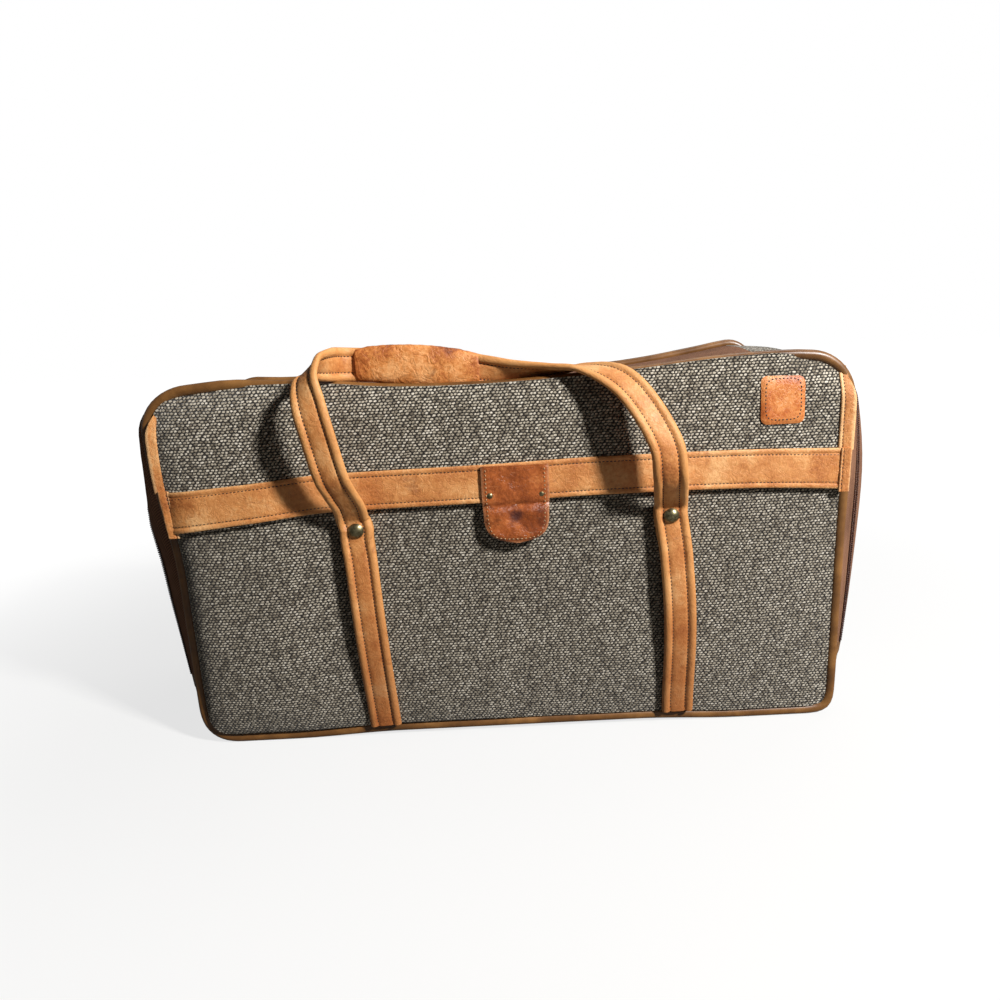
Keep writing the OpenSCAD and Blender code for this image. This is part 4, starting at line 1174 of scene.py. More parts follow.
def make_leather(
    name, stops, edge_tint, edge_start, edge_end, dark_tint, roughness, crease=0.5, painted_low_shade=0.0, crease_size=6
):
    """Leather whose colour follows its width; edges are where the UV's second value is large, in mm.

    crease and crease_size are the depth and size of its creases, painted_low_shade how far painted shade
    darkens it near the floor.
    """
    made, tree, shader = new_finish(name, roughness)
    shader.inputs["Specular IOR Level"].default_value = 0.4
    cloth = add_node(tree, "ShaderNodeUVMap", {"uv_map": "cloth"}, {})
    spot = add_node(tree, "ShaderNodeTexCoord", {}, {})
    place = add_node(tree, "ShaderNodeSeparateXYZ", {}, {0: cloth})
    broad = add_node(tree, "ShaderNodeTexNoise", {}, {
        "Vector": spot.outputs["Object"], "Scale": 1 / (32 * MM), "Detail": 5.0, "Roughness": 0.62,
    })
    pores = add_node(tree, "ShaderNodeTexVoronoi", {"feature": "DISTANCE_TO_EDGE"}, {
        "Vector": spot.outputs["Object"], "Scale": 1 / (0.9 * MM), "Randomness": 1.0,
    })
    mottle = add_node(tree, "ShaderNodeTexNoise", {}, {
        "Vector": spot.outputs["Object"], "Scale": 1 / (2.6 * MM), "Detail": 5.0, "Roughness": 0.7,
    })
    tone_in = add_node(tree, "ShaderNodeMath", {"operation": "MULTIPLY_ADD"}, {
        0: mottle.outputs[0], 1: 0.45, 2: broad.outputs[0],
    })
    tone_place = add_node(tree, "ShaderNodeMapRange", {}, {
        "Value": tone_in, "From Min": 0.5, "From Max": 0.95, "To Min": 0.0, "To Max": 1.0,
    })
    tone = add_node(tree, "ShaderNodeValToRGB", {"stops": stops}, {0: tone_place})
    side = add_node(tree, "ShaderNodeMath", {"operation": "ABSOLUTE"}, {0: place.outputs["Y"]})
    wavering = add_node(tree, "ShaderNodeMath", {"operation": "MULTIPLY_ADD"}, {
        0: mottle.outputs[0], 1: 2.4 * MM, 2: side,
    })
    worn = add_node(tree, "ShaderNodeMapRange", {"interpolation_type": "SMOOTHSTEP"}, {
        "Value": wavering, "From Min": (edge_start + 1.2) * MM, "From Max": (edge_end + 1.2) * MM,
        "To Min": 0.0, "To Max": 0.62,
    })
    with_edge = add_node(tree, "ShaderNodeMix", {"data_type": "RGBA"}, {
        0: worn, 6: tone, 7: colour(edge_tint),
    })
    stain = add_node(tree, "ShaderNodeTexNoise", {}, {
        "Vector": spot.outputs["Object"], "Scale": 1 / (13 * MM),
        "Detail": 6.0, "Roughness": 0.7, "Distortion": 0.8,
    })
    stained = add_node(tree, "ShaderNodeMapRange", {"interpolation_type": "SMOOTHSTEP"}, {
        "Value": stain.outputs[0], "From Min": 0.55, "From Max": 0.72, "To Min": 0.0, "To Max": 0.55,
    })
    with_stain = add_node(tree, "ShaderNodeMix", {"data_type": "RGBA"}, {
        0: stained, 6: with_edge.outputs[2], 7: colour(dark_tint),
    })
    strewn = add_node(tree, "ShaderNodeMapping", {}, {
        "Vector": spot.outputs["Object"], "Rotation": (0.4, 0.5, 0.9),
        "Scale": (1 / (26 * MM), 1 / (26 * MM), 1 / (0.9 * MM)),
    })
    scratches = add_node(tree, "ShaderNodeTexNoise", {}, {"Vector": strewn, "Scale": 1.0, "Detail": 2.0})
    scratched = add_node(tree, "ShaderNodeMapRange", {"interpolation_type": "SMOOTHSTEP"}, {
        "Value": scratches.outputs[0], "From Min": 0.71, "From Max": 0.8, "To Min": 0.0, "To Max": 0.35,
    })
    with_scratches = add_node(tree, "ShaderNodeMix", {"data_type": "RGBA"}, {
        0: scratched, 6: with_stain.outputs[2], 7: colour("#F0CFA0"),
    })
    # painted shade: towards the floor the leather is mixed more and more towards its dark tint
    up = add_node(tree, "ShaderNodeSeparateXYZ", {}, {0: spot.outputs["Object"]})
    low_shade_share = add_node(tree, "ShaderNodeMapRange", {"interpolation_type": "SMOOTHSTEP"}, {
        "Value": up.outputs["Z"], "From Min": low_shade_top_z * MM, "From Max": low_shade_low_z * MM,
        "To Min": 0.0, "To Max": painted_low_shade,
    })
    with_low_shade = add_node(tree, "ShaderNodeMix", {"data_type": "RGBA"}, {
        0: low_shade_share, 6: with_scratches.outputs[2], 7: colour(dark_tint),
    })
    tree.links.new(with_low_shade.outputs[2], shader.inputs["Base Color"])
    folds = add_node(tree, "ShaderNodeTexNoise", {}, {
        "Vector": spot.outputs["Object"], "Scale": 1 / (crease_size * MM),
        "Detail": 5.0, "Roughness": 0.6, "Distortion": 0.8,
    })
    from_mean = add_node(tree, "ShaderNodeMath", {"operation": "SUBTRACT"}, {0: folds.outputs[0], 1: 0.5})
    ridge = add_node(tree, "ShaderNodeMath", {"operation": "ABSOLUTE"}, {0: from_mean})
    creases = add_node(tree, "ShaderNodeMapRange", {"interpolation_type": "SMOOTHSTEP"}, {
        "Value": ridge, "From Min": 0.0, "From Max": 0.09, "To Min": 0.0, "To Max": crease,
    })
    pore_depth = add_node(tree, "ShaderNodeMath", {"operation": "MULTIPLY"}, {0: pores.outputs[0], 1: 0.35})
    uneven_skin = add_node(tree, "ShaderNodeMath", {"operation": "ADD"}, {
        0: mottle.outputs[0], 1: pore_depth,
    })
    height = add_node(tree, "ShaderNodeMath", {"operation": "ADD"}, {0: creases, 1: uneven_skin})
    bump = add_node(tree, "ShaderNodeBump", {}, {"Strength": 0.6, "Distance": 0.5 * MM, "Height": height})
    tree.links.new(bump.outputs[0], shader.inputs["Normal"])
    gloss = add_node(tree, "ShaderNodeMapRange", {}, {
        "Value": stain.outputs[0], "From Min": 0.3, "From Max": 0.7,
        "To Min": roughness + 0.1, "To Max": roughness - 0.1,
    })
    tree.links.new(gloss.outputs[0], shader.inputs["Roughness"])
    return made


tan_stops = [(0.0, "#9E5A2A"), (0.3, "#BC763D"), (0.6, "#CF8C50"), (1.0, "#E3AC72")]
band_leather = make_leather("tan_leather_band", tan_stops, "#E5B67C", 13.5, 16.5, "#8A4A22", 0.55)
seam_inset = 4.2


def bound_edge(half, thick, edge_r):
    """The section of a folded leather strip, flat behind: pairs of across and proud."""
    round_over = steps(0, math.pi, 6)[1:-1]
    outline = [(-half + edge_r, 0), (half - edge_r, 0)]
    outline += [
        (half - edge_r + edge_r * math.sin(a), thick / 2 - thick / 2 * math.cos(a)) for a in round_over
    ]
    groove = half - seam_inset
    front = [
        (half - edge_r, thick + 0.25), (half - 2.4, thick + 0.3), (groove + 0.5, thick),
        (groove, thick - 0.3), (groove - 0.5, thick - 0.05), (groove - 2.5, thick + 0.1),
        (half * 0.3, thick + 0.05),
    ]
    outline += front + [(0, thick + 0.1)] + [(-w, h) for w, h in reversed(front)]
    outline += [
        (-half + edge_r - edge_r * math.sin(a), thick / 2 + thick / 2 * math.cos(a)) for a in round_over
    ]
    return outline


band_half = band_h / 2
band_mid_z = flap_low_z + band_half
band_left, band_right = -260, 265
band_way = []
for x in steps(band_left, band_right, 80):
    wave = uneven(x, band_mid_z, 0.7, 7.0) * (1 - min(1, abs(x) / band_right) ** 4)
    tilt = crown(x, band_mid_z + 10) - crown(x, band_mid_z - 10)
    up = Vector((0, -tilt / 20, 1)).normalized()
    middle = hung(Vector((x, face_y(x, band_mid_z, flap_front_off) - wave, band_mid_z)))
    band_way.append((middle, up, Vector((0, -up.z, up.y))))


def band_section(k):
    """The band is cut a little wider towards its ends."""
    return bound_edge(band_half * (1 + 0.1 * abs(2 * k / (len(band_way) - 1) - 1) ** 5), leather_t, 0.6)


band = turn_out(sweep("flap_band_leather", band_way, band_section))
fit(band, band_leather, "flap", ["flap_band"])

binding_leather = make_leather("tan_leather_binding", tan_stops, "#EBC08A", 2.2, 4.4, "#9A5A2C", 0.55)
binding_half = 6
# for each side: the middle line's place across, how far the binding reaches above the start of the
# corner, and how far inside the corner it is cut; the left one ends lower, as the piping bends in earlier
binding_x = {-1: -257.5, 1: 261}
binding_reach = {-1: 20, 1: 25}
binding_cut = {-1: 6, 1: 3}
tuck_depth, tuck_start, tuck_over = 4, 6, 7


def binding_heights(side):
    return steps(flap_low_z + band_h - 2, arc_high_z + binding_reach[side], 22)


def binding_way(side):
    """Straight up the flap's side edge, until it is tucked in under the corner of the piping."""
    x = binding_x[side]
    placed = []
    for z in binding_heights(side):
        tuck = tuck_depth * blend_in((z - arc_high_z - binding_reach[side] + tuck_start) / tuck_over)
        y = face_y(x, z, flap_front_off) + flap_sink(x, z) - 0.2 + tuck
        placed.append((hung(Vector((x, y, z))), Vector((side, 0, 0)), Vector((0, -1, 0))))
    return placed


# the sewing groove's place across a strip, as a share of its half width
strip_groove = 0.52


def soft_strip(half, thick, out_share):
    """The section of a narrow folded strip with its sewing groove, cut back to a share on its outer side."""
    front = [
        (0.93, 0.2), (0.7, 0.45), (0.3, 0.3), (-0.1, 0.15), (-0.42, 0.1),
        (-strip_groove, -0.25), (-0.62, 0.1), (-0.8, 0.35), (-0.93, 0.2),
    ]
    outline = [(-0.93 * half, 0), (0.93 * half, 0), (half, thick * 0.35), (half, thick * 0.8)]
    outline += [(w * half, thick + h) for w, h in front]
    outline += [(-half, thick * 0.8), (-half, thick * 0.35)]
    return [(w * (out_share if w > 0 else 1), h) for w, h in outline]


def binding_section(side, k):
    """The binding's outer side follows the corner."""
    z = binding_heights(side)[k]
    corner = corner_r - binding_cut[side]
    reach = arc_x + math.sqrt(corner ** 2 - max(0.0, z - arc_high_z) ** 2)
    out_share = (reach - abs(binding_x[side])) / binding_half
    return soft_strip(binding_half, leather_t, min(1.0, max(0.08, out_share)))


for side, name in ((-1, "left"), (1, "right")):
    section = lambda k, side=side: binding_section(side, k)
    binding = turn_out(sweep("flap_binding_" + name + "_leather", binding_way(side), section))
    fit(binding, binding_leather, "lid", ["flap_binding_" + name], flap_bend)

# Each end of the band is folded round a thick edge that covers it from top to bottom.
band_end_half = 4.2


def band_end_way(end_x):
    """Straight up the end of the band, a little rough."""
    side = math.copysign(1, end_x)
    way = []
    for z in steps(flap_low_z - 1.6, flap_low_z + band_h - 0.5, 12):
        rough = 0.5 * noise.noise(Vector((end_x, z / 6, 0)))
        y = face_y(end_x, z, flap_front_off) - leather_t - 0.1 + rough
        way.append((hung(Vector((end_x, y, z))), Vector((side, 0, 0)), Vector((0, -1, 0))))
    return way


band_end_xs = (band_left + band_end_half - 0.5, band_right - band_end_half + 0.5)
band_end_ways = [band_end_way(x) for x in band_end_xs]
band_end_section = soft_strip(band_end_half, leather_t, 1)
for way, name in zip(band_end_ways, ("left", "right")):
    band_end = turn_out(sweep("flap_band_end_" + name + "_leather", way, band_end_section))
    fit(band_end, binding_leather, "flap")

patch_x, patch_w, patch_h, patch_t = 211, 34, 37.5, 1.2
patch_proud, patch_rim_down = 1.6, 1.1
patch_top_z = flap_hinge_z - 2.5
patch_z = patch_top_z - patch_h / 2
patch_corner = 5


def rounded_rows(w, h, r, count):
    """Half widths at heights of a rectangle with round corners, from its bottom to its top."""
    rows = []
    for k in range(count + 1):
        z = -h / 2 + h * (1 - math.cos(math.pi * k / count)) / 2
        cut = abs(z) - (h / 2 - r)
        rows.append((z, w / 2 - r + math.sqrt(max(0, r * r - max(0, cut) ** 2))))
    return rows


patch_lift = settled(Vector((patch_x, front_y, patch_z))) - Vector((patch_x, front_y, patch_z))
patch_grid = []
for dz, half in rounded_rows(patch_w, patch_h, patch_corner, 16):
    row = []
    for u in steps(-1, 1, 12):
        x, z = patch_x + u * half, patch_z + dz
        rim = max(abs(u), abs(dz) / (patch_h / 2))
        rise = patch_proud - patch_rim_down * blend_in((rim - 0.86) / 0.14)
        y = face_y(x, z, flap_front_off) + flap_sink(x, z) - rise
        row.append(Vector((x, y, z)) + patch_lift)
    patch_grid.append(row)
# redder, glossier leather of the corner patch
patch_stops = [(0.0, "#93481F"), (0.35, "#BC672F"), (0.65, "#D48749"), (1.0, "#EBB083")]
patch_leather = make_leather(
    "orange_leather_patch", patch_stops, "#EBC6A0", no_edge_start, no_edge_end, "#9A4A22", 0.36, 0.3
)
patch = cloth_piece("corner_patch_leather", [patch_grid], patch_t, "face")
fit(patch, patch_leather, "flap", ["corner_patch"])

# Stitches
# Waxed thread, brown on the straps and bands and paler on the tongue, in stitches of about 3 mm that
# sink a little into the leather.



def make_thread(name, stops):
    """Waxed thread: dull, its colour uneven from ply to ply."""
    made, tree, shader = new_finish(name, 0.6)
    spot = add_node(tree, "ShaderNodeTexCoord", {}, {})
    ply = add_node(tree, "ShaderNodeTexNoise", {}, {
        "Vector": spot.outputs["Object"], "Scale": 1 / (1.5 * MM), "Detail": 3.0,
    })
    dyed = add_node(tree, "ShaderNodeValToRGB", {"stops": stops}, {0: ply.outputs[0]})
    tree.links.new(dyed.outputs[0], shader.inputs["Base Color"])
    bump = add_node(tree, "ShaderNodeBump", {}, {
        "Strength": 0.5, "Distance": 0.1 * MM, "Height": ply.outputs[0],
    })
    tree.links.new(bump.outputs[0], shader.inputs["Normal"])
    return made


brown_thread = make_thread("brown_waxed_thread", [(0.3, "#170B06"), (0.6, "#301A0C"), (0.9, "#56371C")])
pale_thread = make_thread("pale_waxed_thread", [(0.3, "#9A7550"), (0.6, "#BF9A70"), (0.9, "#DCC09A")])

# the middle of each stitch lies this far below the leather's surface
thread_sunk = 0.15
stitch_step = 2.9
stitch = bead("stitch", 2.0, 0.85, 0.7)
short_stitch = bead("short_stitch", 1.7, 0.85, 0.7)
patch_stitch = bead("patch_stitch", 1.9, 1.3, 0.8)


def line_on(way, across, proud, start=0, end=None):
    """A sewing line that follows a way at a distance across it."""
    part = way[start:end]
    return [(point + wide * across + facing * proud, facing) for point, wide, facing in part]


seam = band_half - seam_inset
on_leather = leather_t - thread_sunk
band_lines = [line_on(band_way, side * seam, on_leather, 1, -1) for side in (-1, 1)]
band_lines += [line_on(way, -strip_groove * band_end_half, on_leather, 1, -1) for way in band_end_ways]
band_stitches = set_along("flap_band_stitches", band_lines, stitch, stitch_step, brown_thread, 0.14, 2)
fit(band_stitches, None, "flap")
binding_lines = []
for side in (-1, 1):
    binding_lines.append(line_on(binding_way(side), -strip_groove * binding_half, on_leather, 0, -2))
binding_stitches = set_along("flap_binding_stitches", binding_lines, short_stitch, 2.6, brown_thread, 0.1, 3)
fit(binding_stitches, None, "lid", (), flap_bend)
patch_seam = 3.3
squareness = 5
wide, tall = patch_w / 2 - patch_seam, patch_h / 2 - patch_seam
patch_line = []
for a in steps(0, 2 * math.pi, 48):
    c, s = math.cos(a), math.sin(a)
    reach = (abs(c) ** squareness + abs(s) ** squareness) ** (-1 / squareness)
    x, z = patch_x + wide * c * reach, patch_z + tall * s * reach
    y = face_y(x, z, flap_front_off) + flap_sink(x, z) - patch_proud + thread_sunk
    patch_line.append((Vector((x, y, z)) + patch_lift, Vector((0, -1, 0))))
patch_stitches = set_along("corner_patch_stitches", [patch_line], patch_stitch, 2.9, brown_thread, 0.1, 4)
fit(patch_stitches, None, "flap")

# Tongue
# A doubled tongue of redder, glossier leather is riveted to the band. Its rounded tip folds forward
# to open the snap; years of thumbs have left a dent in it, and painted shade darkens the dent.

tongue_x, tongue_w, tongue_t = 5, 52, 2.4
tongue_low_z = flap_low_z - 32
tongue_top_z = flap_low_z + band_h - 1
tongue_fold_z = flap_low_z - 2
tongue_off = flap_front_off + leather_t + 0.2
tongue_y = face_y(tongue_x, tongue_fold_z, tongue_off)
tongue_round = 22
dent_z = tongue_low_z + 21

# red-brown leather, glossy from handling, paler where its edge is rubbed
tongue_stops = [(0.0, "#5E2A10"), (0.35, "#86421C"), (0.65, "#A85A2B"), (1.0, "#C97C45")]
tongue_leather = make_leather(
    "red_brown_tongue_leather", tongue_stops, "#C08A62", 23.0, 26.5, "#34160E", 0.27, 0.35
)

# painted shade: a dark patch is painted into the dent, where shade falls in the hollow
tree = tongue_leather.node_tree
shader = tree.nodes["Principled BSDF"]
skin = shader.inputs["Base Color"].links[0].from_socket
spot = add_node(tree, "ShaderNodeTexCoord", {}, {})
away = add_node(tree, "ShaderNodeVectorMath", {"operation": "DISTANCE"}, {
    0: spot.outputs["Object"], 1: (tongue_x * MM, (tongue_y - 3) * MM, (dent_z + 1) * MM),
}).outputs["Value"]
blurred = add_node(tree, "ShaderNodeTexNoise", {}, {
    "Vector": spot.outputs["Object"], "Scale": 1 / (4 * MM), "Detail": 4.0,
})
strayed = add_node(tree, "ShaderNodeMath", {"operation": "MULTIPLY_ADD"}, {
    0: blurred.outputs[0], 1: 9 * MM, 2: away,
})
dent_shade = add_node(tree, "ShaderNodeMapRange", {"interpolation_type": "SMOOTHSTEP"}, {
    "Value": strayed, "From Min": 13 * MM, "From Max": 6 * MM, "To Min": 0.0, "To Max": 0.8,
})
with_dent_shade = add_node(tree, "ShaderNodeMix", {"data_type": "RGBA"}, {0: dent_shade, 6: skin, 7: colour("#2B1720")})
tree.links.new(with_dent_shade.outputs[2], shader.inputs["Base Color"])


def tongue_half(z):
    """Half width of the tongue: straight sides, a U below."""
    centre = tongue_low_z + tongue_round
    if z >= centre:
        return tongue_w / 2 - 0.6 * blend_in((centre + 14 - z) / 14)
    down = (centre - z) / tongue_round
    return (tongue_w / 2 - 0.6) * max(0.02, 1 - down ** 2.6) ** (1 / 2.3)


def tongue_front(x, z):
    """The front of the tongue, with its dent, its soft rim and its pale lower lip."""
    u = (x - tongue_x) / max(1.0, tongue_half(z))
    rim = blend_in((abs(u) - 0.88) / 0.12)
    low = blend_in((tongue_low_z + 6 - z) / 6)
    below = blend_in((tongue_fold_z - z) / 7)
    padding = 1.9 * below * (1 - min(1, abs(u)) ** 3)
    dent = 2.4 * math.exp(-(((x - tongue_x) / 10) ** 2 + ((z - dent_z) / 5.5) ** 2))
    lip = 1.3 * math.exp(-((z - tongue_low_z - 5 - 0.006 * (x - tongue_x) ** 2) / 4) ** 2)
    fold = 1.5 * math.exp(-((z - tongue_fold_z - 0.02 * (x - tongue_x)) / 1.8) ** 2)
    grain = 0.7 * noise.noise(Vector((x / 11, z / 9, 2.0)))
    return tongue_y - tongue_t - 0.5 + 0.9 * rim + 0.8 * low + dent - padding - lip + fold + grain


tongue_heights = [tongue_low_z + 24 * (1 - math.cos(a)) for a in steps(0, math.pi / 2, 16)]
tongue_heights += steps(tongue_low_z + 24, tongue_top_z, 22)[1:]
tongue_grid = []
for z in tongue_heights:
    half = tongue_half(z)
    places = [tongue_x + u * half for u in steps(-1, 1, 26)]
    tongue_grid.append([Vector((x, tongue_front(x, z), z)) for x in places])
tongue = cloth_piece("tongue_leather", [tongue_grid], tongue_t - 0.5, "face")
# the tongue's pale edge runs round its sides and its tip, so its cloth map is how near a point is to them
layer = tongue.data.uv_layers["cloth"]
for loop in tongue.data.loops:
    point = tongue.data.vertices[loop.vertex_index].co / MM
    u = (point.x - tongue_x) / max(2.0, tongue_half(point.z))
    inward = max(abs(u) * tongue_w / 2, tongue_w / 2 - max(0.0, point.z - tongue_low_z))
    layer.data[loop.index].uv = (point.z * MM, inward * MM)
tongue_bend = ("tongue", (0, tongue_y, tongue_fold_z + 4), (0, tongue_y, tongue_fold_z - 4))
fit(tongue, tongue_leather, "flap", ["tongue_base", "tongue_tip"], tongue_bend)

# the seam runs down the left edge, round the tip and up the right edge
tongue_seam = 3.4
seam_low_z = tongue_low_z + 3.6
tip_curve = 1.35
down_left = [(tongue_x - (tongue_half(z) - tongue_seam), z) for z in reversed(tongue_heights[2:])]
down_left = [(x, z) for x, z in down_left if z > seam_low_z + 1.5 and x < tongue_x - 8]
up_right = [(2 * tongue_x - x, z) for x, z in reversed(down_left)]
turn_x = down_left[-1][0]
round_tip = [
    (x, seam_low_z + tip_curve * ((x - tongue_x) / (tongue_x - turn_x)) ** 2)
    for x in steps(turn_x, 2 * tongue_x - turn_x, 8)[1:-1]
]
sewn = [
    (Vector((x, tongue_front(x, z) - 0.1, z)), Vector((0, -1, 0)))
    for x, z in down_left + round_tip + up_right if z < tongue_top_z - 3
]
tongue_stitches = set_along("tongue_stitches", [sewn], short_stitch, 3.2, pale_thread, 0.12, 5)
fit(tongue_stitches, None, "flap", (), tongue_bend)

# Straps and handles
# Each handle is one long strap: tan leather with a cord rolled into both edges and a flat middle,
# sewn along two grooves. It runs up from the bottom seam, through a rivet, over the top and down again.

strap_w = 26
roll_r = 2.6
rivet_z = top_z - 109
strap_top_z = rivet_z + 6
left_rivet_x, left_foot_x = -119.5, -112
right_rivet_x, right_foot_x = 125, 132
strap_foot_z = base_z + piping_d + 2
rivet_crown = pocket_crown * (1 - (abs(left_rivet_x) / face_half_w) ** 4)
rivet_crown *= 1 - ((rivet_z - face_mid_z) / face_half_z) ** 4
front_strap_y = front_y - seam_gap - rivet_crown - pocket_t - roll_r - 0.2
rear_strap_y = rear_y + seam_gap + roll_r
strap_over = 2 * roll_r + seam_gap
front_pivot_y = front_strap_y - strap_over
rear_pivot_y = rear_strap_y + strap_over


# one face of the strap from its middle over the sewn groove and the rolled edge: across and proud
strap_face = [
    (0, 1.75), (2.5, 1.75), (4.6, 1.6), (5.5, 1.25), (6.1, 1.0), (6.7, 1.35),
    (7.8, 2.2), (9.4, 2.6), (11.0, 2.35), (12.3, 1.5), (12.9, 0.6),
]


def strap_section(back=0.0):
    """The whole section of the strap; back thickens its rear side where it is doubled."""
    rear = [(w, -h - back) for w, h in strap_face]
    right = strap_face + list(reversed(rear))
    left = [(-w, h) for w, h in rear[1:]] + [(-w, h) for w, h in reversed(strap_face[1:])]
    return right + left


def smooth_between(a, b, c, d, t):
    """The place at share t from b to c of a smooth curve through a, b, c and d."""
    bent = (2 * a - 5 * b + 4 * c - d) * t * t + (3 * b - a - 3 * c + d) * t ** 3
    return 0.5 * (2 * b + (c - a) * t + bent)


def smooth_way(controls, count):
    """Even steps on a smooth curve through controls of point and width direction."""
    way = []
    last = len(controls) - 1
    for i in range(last):
        four = [controls[max(i - 1, 0)], controls[i], controls[i + 1], controls[min(i + 2, last)]]
        for k in range(count):
            way.append([smooth_between(*values, k / count) for values in zip(*four)])
    way.append(list(controls[-1]))
    return way


def frames_along(way):
    """Turns a way of x, y, z and width direction into points with their width and facing directions."""
    placed = []
    for k, s in enumerate(way):
        after, before = way[min(k + 1, len(way) - 1)], way[max(k - 1, 0)]
        run = (Vector(after[:3]) - Vector(before[:3])).normalized()
        wide = Vector(s[3:6])
        wide = (wide - run * wide.dot(run)).normalized()
        placed.append((Vector(s[:3]), wide, wide.cross(run)))
    return placed


lower_count = 9
rivet_flat = 8
front_bow, rear_bow = -5.5, 2.6


def lower_controls(foot_x, rivet_x, foot_y, top_y, bow, side, sway=0.0):
    """Up the lower strap from its foot to just under the rivet; it bows out, and sways to one side."""
    rows = []
    rise = strap_top_z - strap_foot_z
    for t in steps(0, (rivet_z - rivet_flat - strap_foot_z) / rise, lower_count):
        arch = math.sin(math.pi * min(1.0, t))
        x = foot_x + (rivet_x - foot_x) * t + sway * arch ** 1.5
        y = foot_y + (top_y - foot_y) * t + bow * arch ** 1.2
        rows.append([x, y, strap_foot_z + rise * t, side, 0, 0])
    return rows


front_foot_y = front_y - seam_gap - pocket_t - roll_r - 0.6
# the strap's way from above one rivet over the top to above the other; each row is x, how far behind
# the handle's pivot, how high above the rivets, and the direction of the strap's width
over_top = [
    [-122.5, -6.5, 20, 1, 0, 0], [-126, -14.5, 32, 1, 0, 0], [-130, -22.5, 47, 1, 0, 0],
    [-135, -28, 77, 1, -0.05, 0], [-139.5, -27.5, 100, 0.99, -0.15, 0],
    [-142.5, -19.5, 118, 0.75, -0.66, 0.05], [-138, -5.5, 126, 0.15, -0.9, 0.38],
    [-130.5, 9, 126.5, 0, -0.55, 0.8], [-121.5, 23, 125.5, 0, -0.08, 1],
    [-106, 26.4, 124.3, 0, 0, 1], [-66, 26.4, 122, 0, 0, 1], [-32, 26.4, 118.3, 0, 0, 1],
    [-15, 26.4, 115, 0, -0.2, 0.98], [8, 26.5, 112.5, 0, -0.6, 0.8],
    [34, 24, 113.5, -0.05, -0.88, 0.42], [60, 14, 115.5, -0.37, -0.88, -0.05],
    [83, -2, 108.5, -0.65, -0.53, -0.5], [100, -13.5, 90, -0.8, -0.34, -0.45],
    [115.5, -22, 60, -1, -0.12, 0], [119.5, -20, 36, -1, 0, 0], [122.5, -9, 20, -1, 0, 0],
]
# the right lower strap: how far outwards its foot stands, how far it sways outwards above that, and
# how far beside the rivet's middle it arrives
right_foot_out, right_sway, sway_start = 2, 3, 1.1
strap_sunk = 1.2
rivet_strap_y = front_pivot_y + strap_sunk


def flat_at_rivet(x, side):
    """The strap lies flat under the rivet's head, a little sunk by it, and starts to lean above it."""
    rows = []
    for rise in (-rivet_flat, 0, rivet_flat):
        if side > 0:
            lean = -0.02 * rise * (rise + 6)
        else:
            lean = sway_start if rise < 0 else 0
        rows.append([x + lean, rivet_strap_y, rivet_z + rise, side, 0, 0])
    return rows


left_lower = lower_controls(left_foot_x, left_rivet_x, front_foot_y, rivet_strap_y, front_bow, 1)
right_lower = lower_controls(
    right_foot_x + right_foot_out, right_rivet_x + sway_start, front_foot_y, rivet_strap_y,
    front_bow, -1, right_sway,
)
front_controls = (
    left_lower[:-1]
    + flat_at_rivet(left_rivet_x, 1)
    + [[s[0], s[1] + front_pivot_y, s[2] + rivet_z, s[3], s[4], s[5]] for s in over_top]
    + list(reversed(flat_at_rivet(right_rivet_x, -1)))
    + right_lower[-2::-1]
)
front_way = frames_along(smooth_way(front_controls, 6))

# the straps get painted shade towards the floor, set by the last number
strap_leather = make_leather("tan_leather_strap", tan_stops, "#CF9355", 6.9, 8.8, "#8A4A22", 0.52, 0.4, 0.55)
strap_back = 3.5


def front_section(k):
    """Thicker behind near the rivets, where the strap is doubled."""
    z = front_way[k][0].z
    doubled = blend_in((z - rivet_z + 31) / 22) * blend_in((rivet_z + 13 - z) / 12)
    return strap_section(strap_back * doubled)


front_strap = turn_out(sweep("front_strap_leather", front_way, front_section))
handle_bend = ("front_handle", (0, front_pivot_y, rivet_z + 8), (0, front_pivot_y, rivet_z + 26))
front_strap_nodes = [
    "front_strap_left", "front_strap_right", "front_leg_left", "front_leg_right",
    "front_leg_ends", "front_run",
]
fit(front_strap, strap_leather, "lid", front_strap_nodes, handle_bend)

groove_w, groove_h = 6.1, 1.15
strap_stitches = set_along(
    "front_strap_stitches",
    [line_on(front_way, side * groove_w, face * groove_h, 2, -2) for side in (-1, 1) for face in (-1, 1)],
    stitch, stitch_step, brown_thread, 0.08, 6,
)
fit(strap_stitches, None, "lid", (), handle_bend)

for side, foot_x, rivet_x in (("left", left_foot_x, left_rivet_x), ("right", right_foot_x, right_rivet_x)):
    rows = lower_controls(foot_x, rivet_x, rear_strap_y, rear_strap_y, rear_bow, -1)
    rows.append([rivet_x, rear_strap_y, rivet_z + 6, -1, 0, 0])
    rear_way = frames_along(smooth_way(rows, 5))
    lower = turn_out(sweep("rear_strap_" + side + "_leather", rear_way, strap_section()))
    fit(lower, strap_leather, "case", ["rear_strap_" + side])
    lower_stitches = set_along(
        "rear_strap_" + side + "_stitches",
        [line_on(rear_way, w, groove_h, 1, -4) for w in (-groove_w, groove_w)],
        stitch, stitch_step, brown_thread, 0.08, 7,
    )
    fit(lower_stitches, None, "case")

hang_out, hang_rise, hang_drop, hang_middle_out = 2, 11, 132.5, 9.5
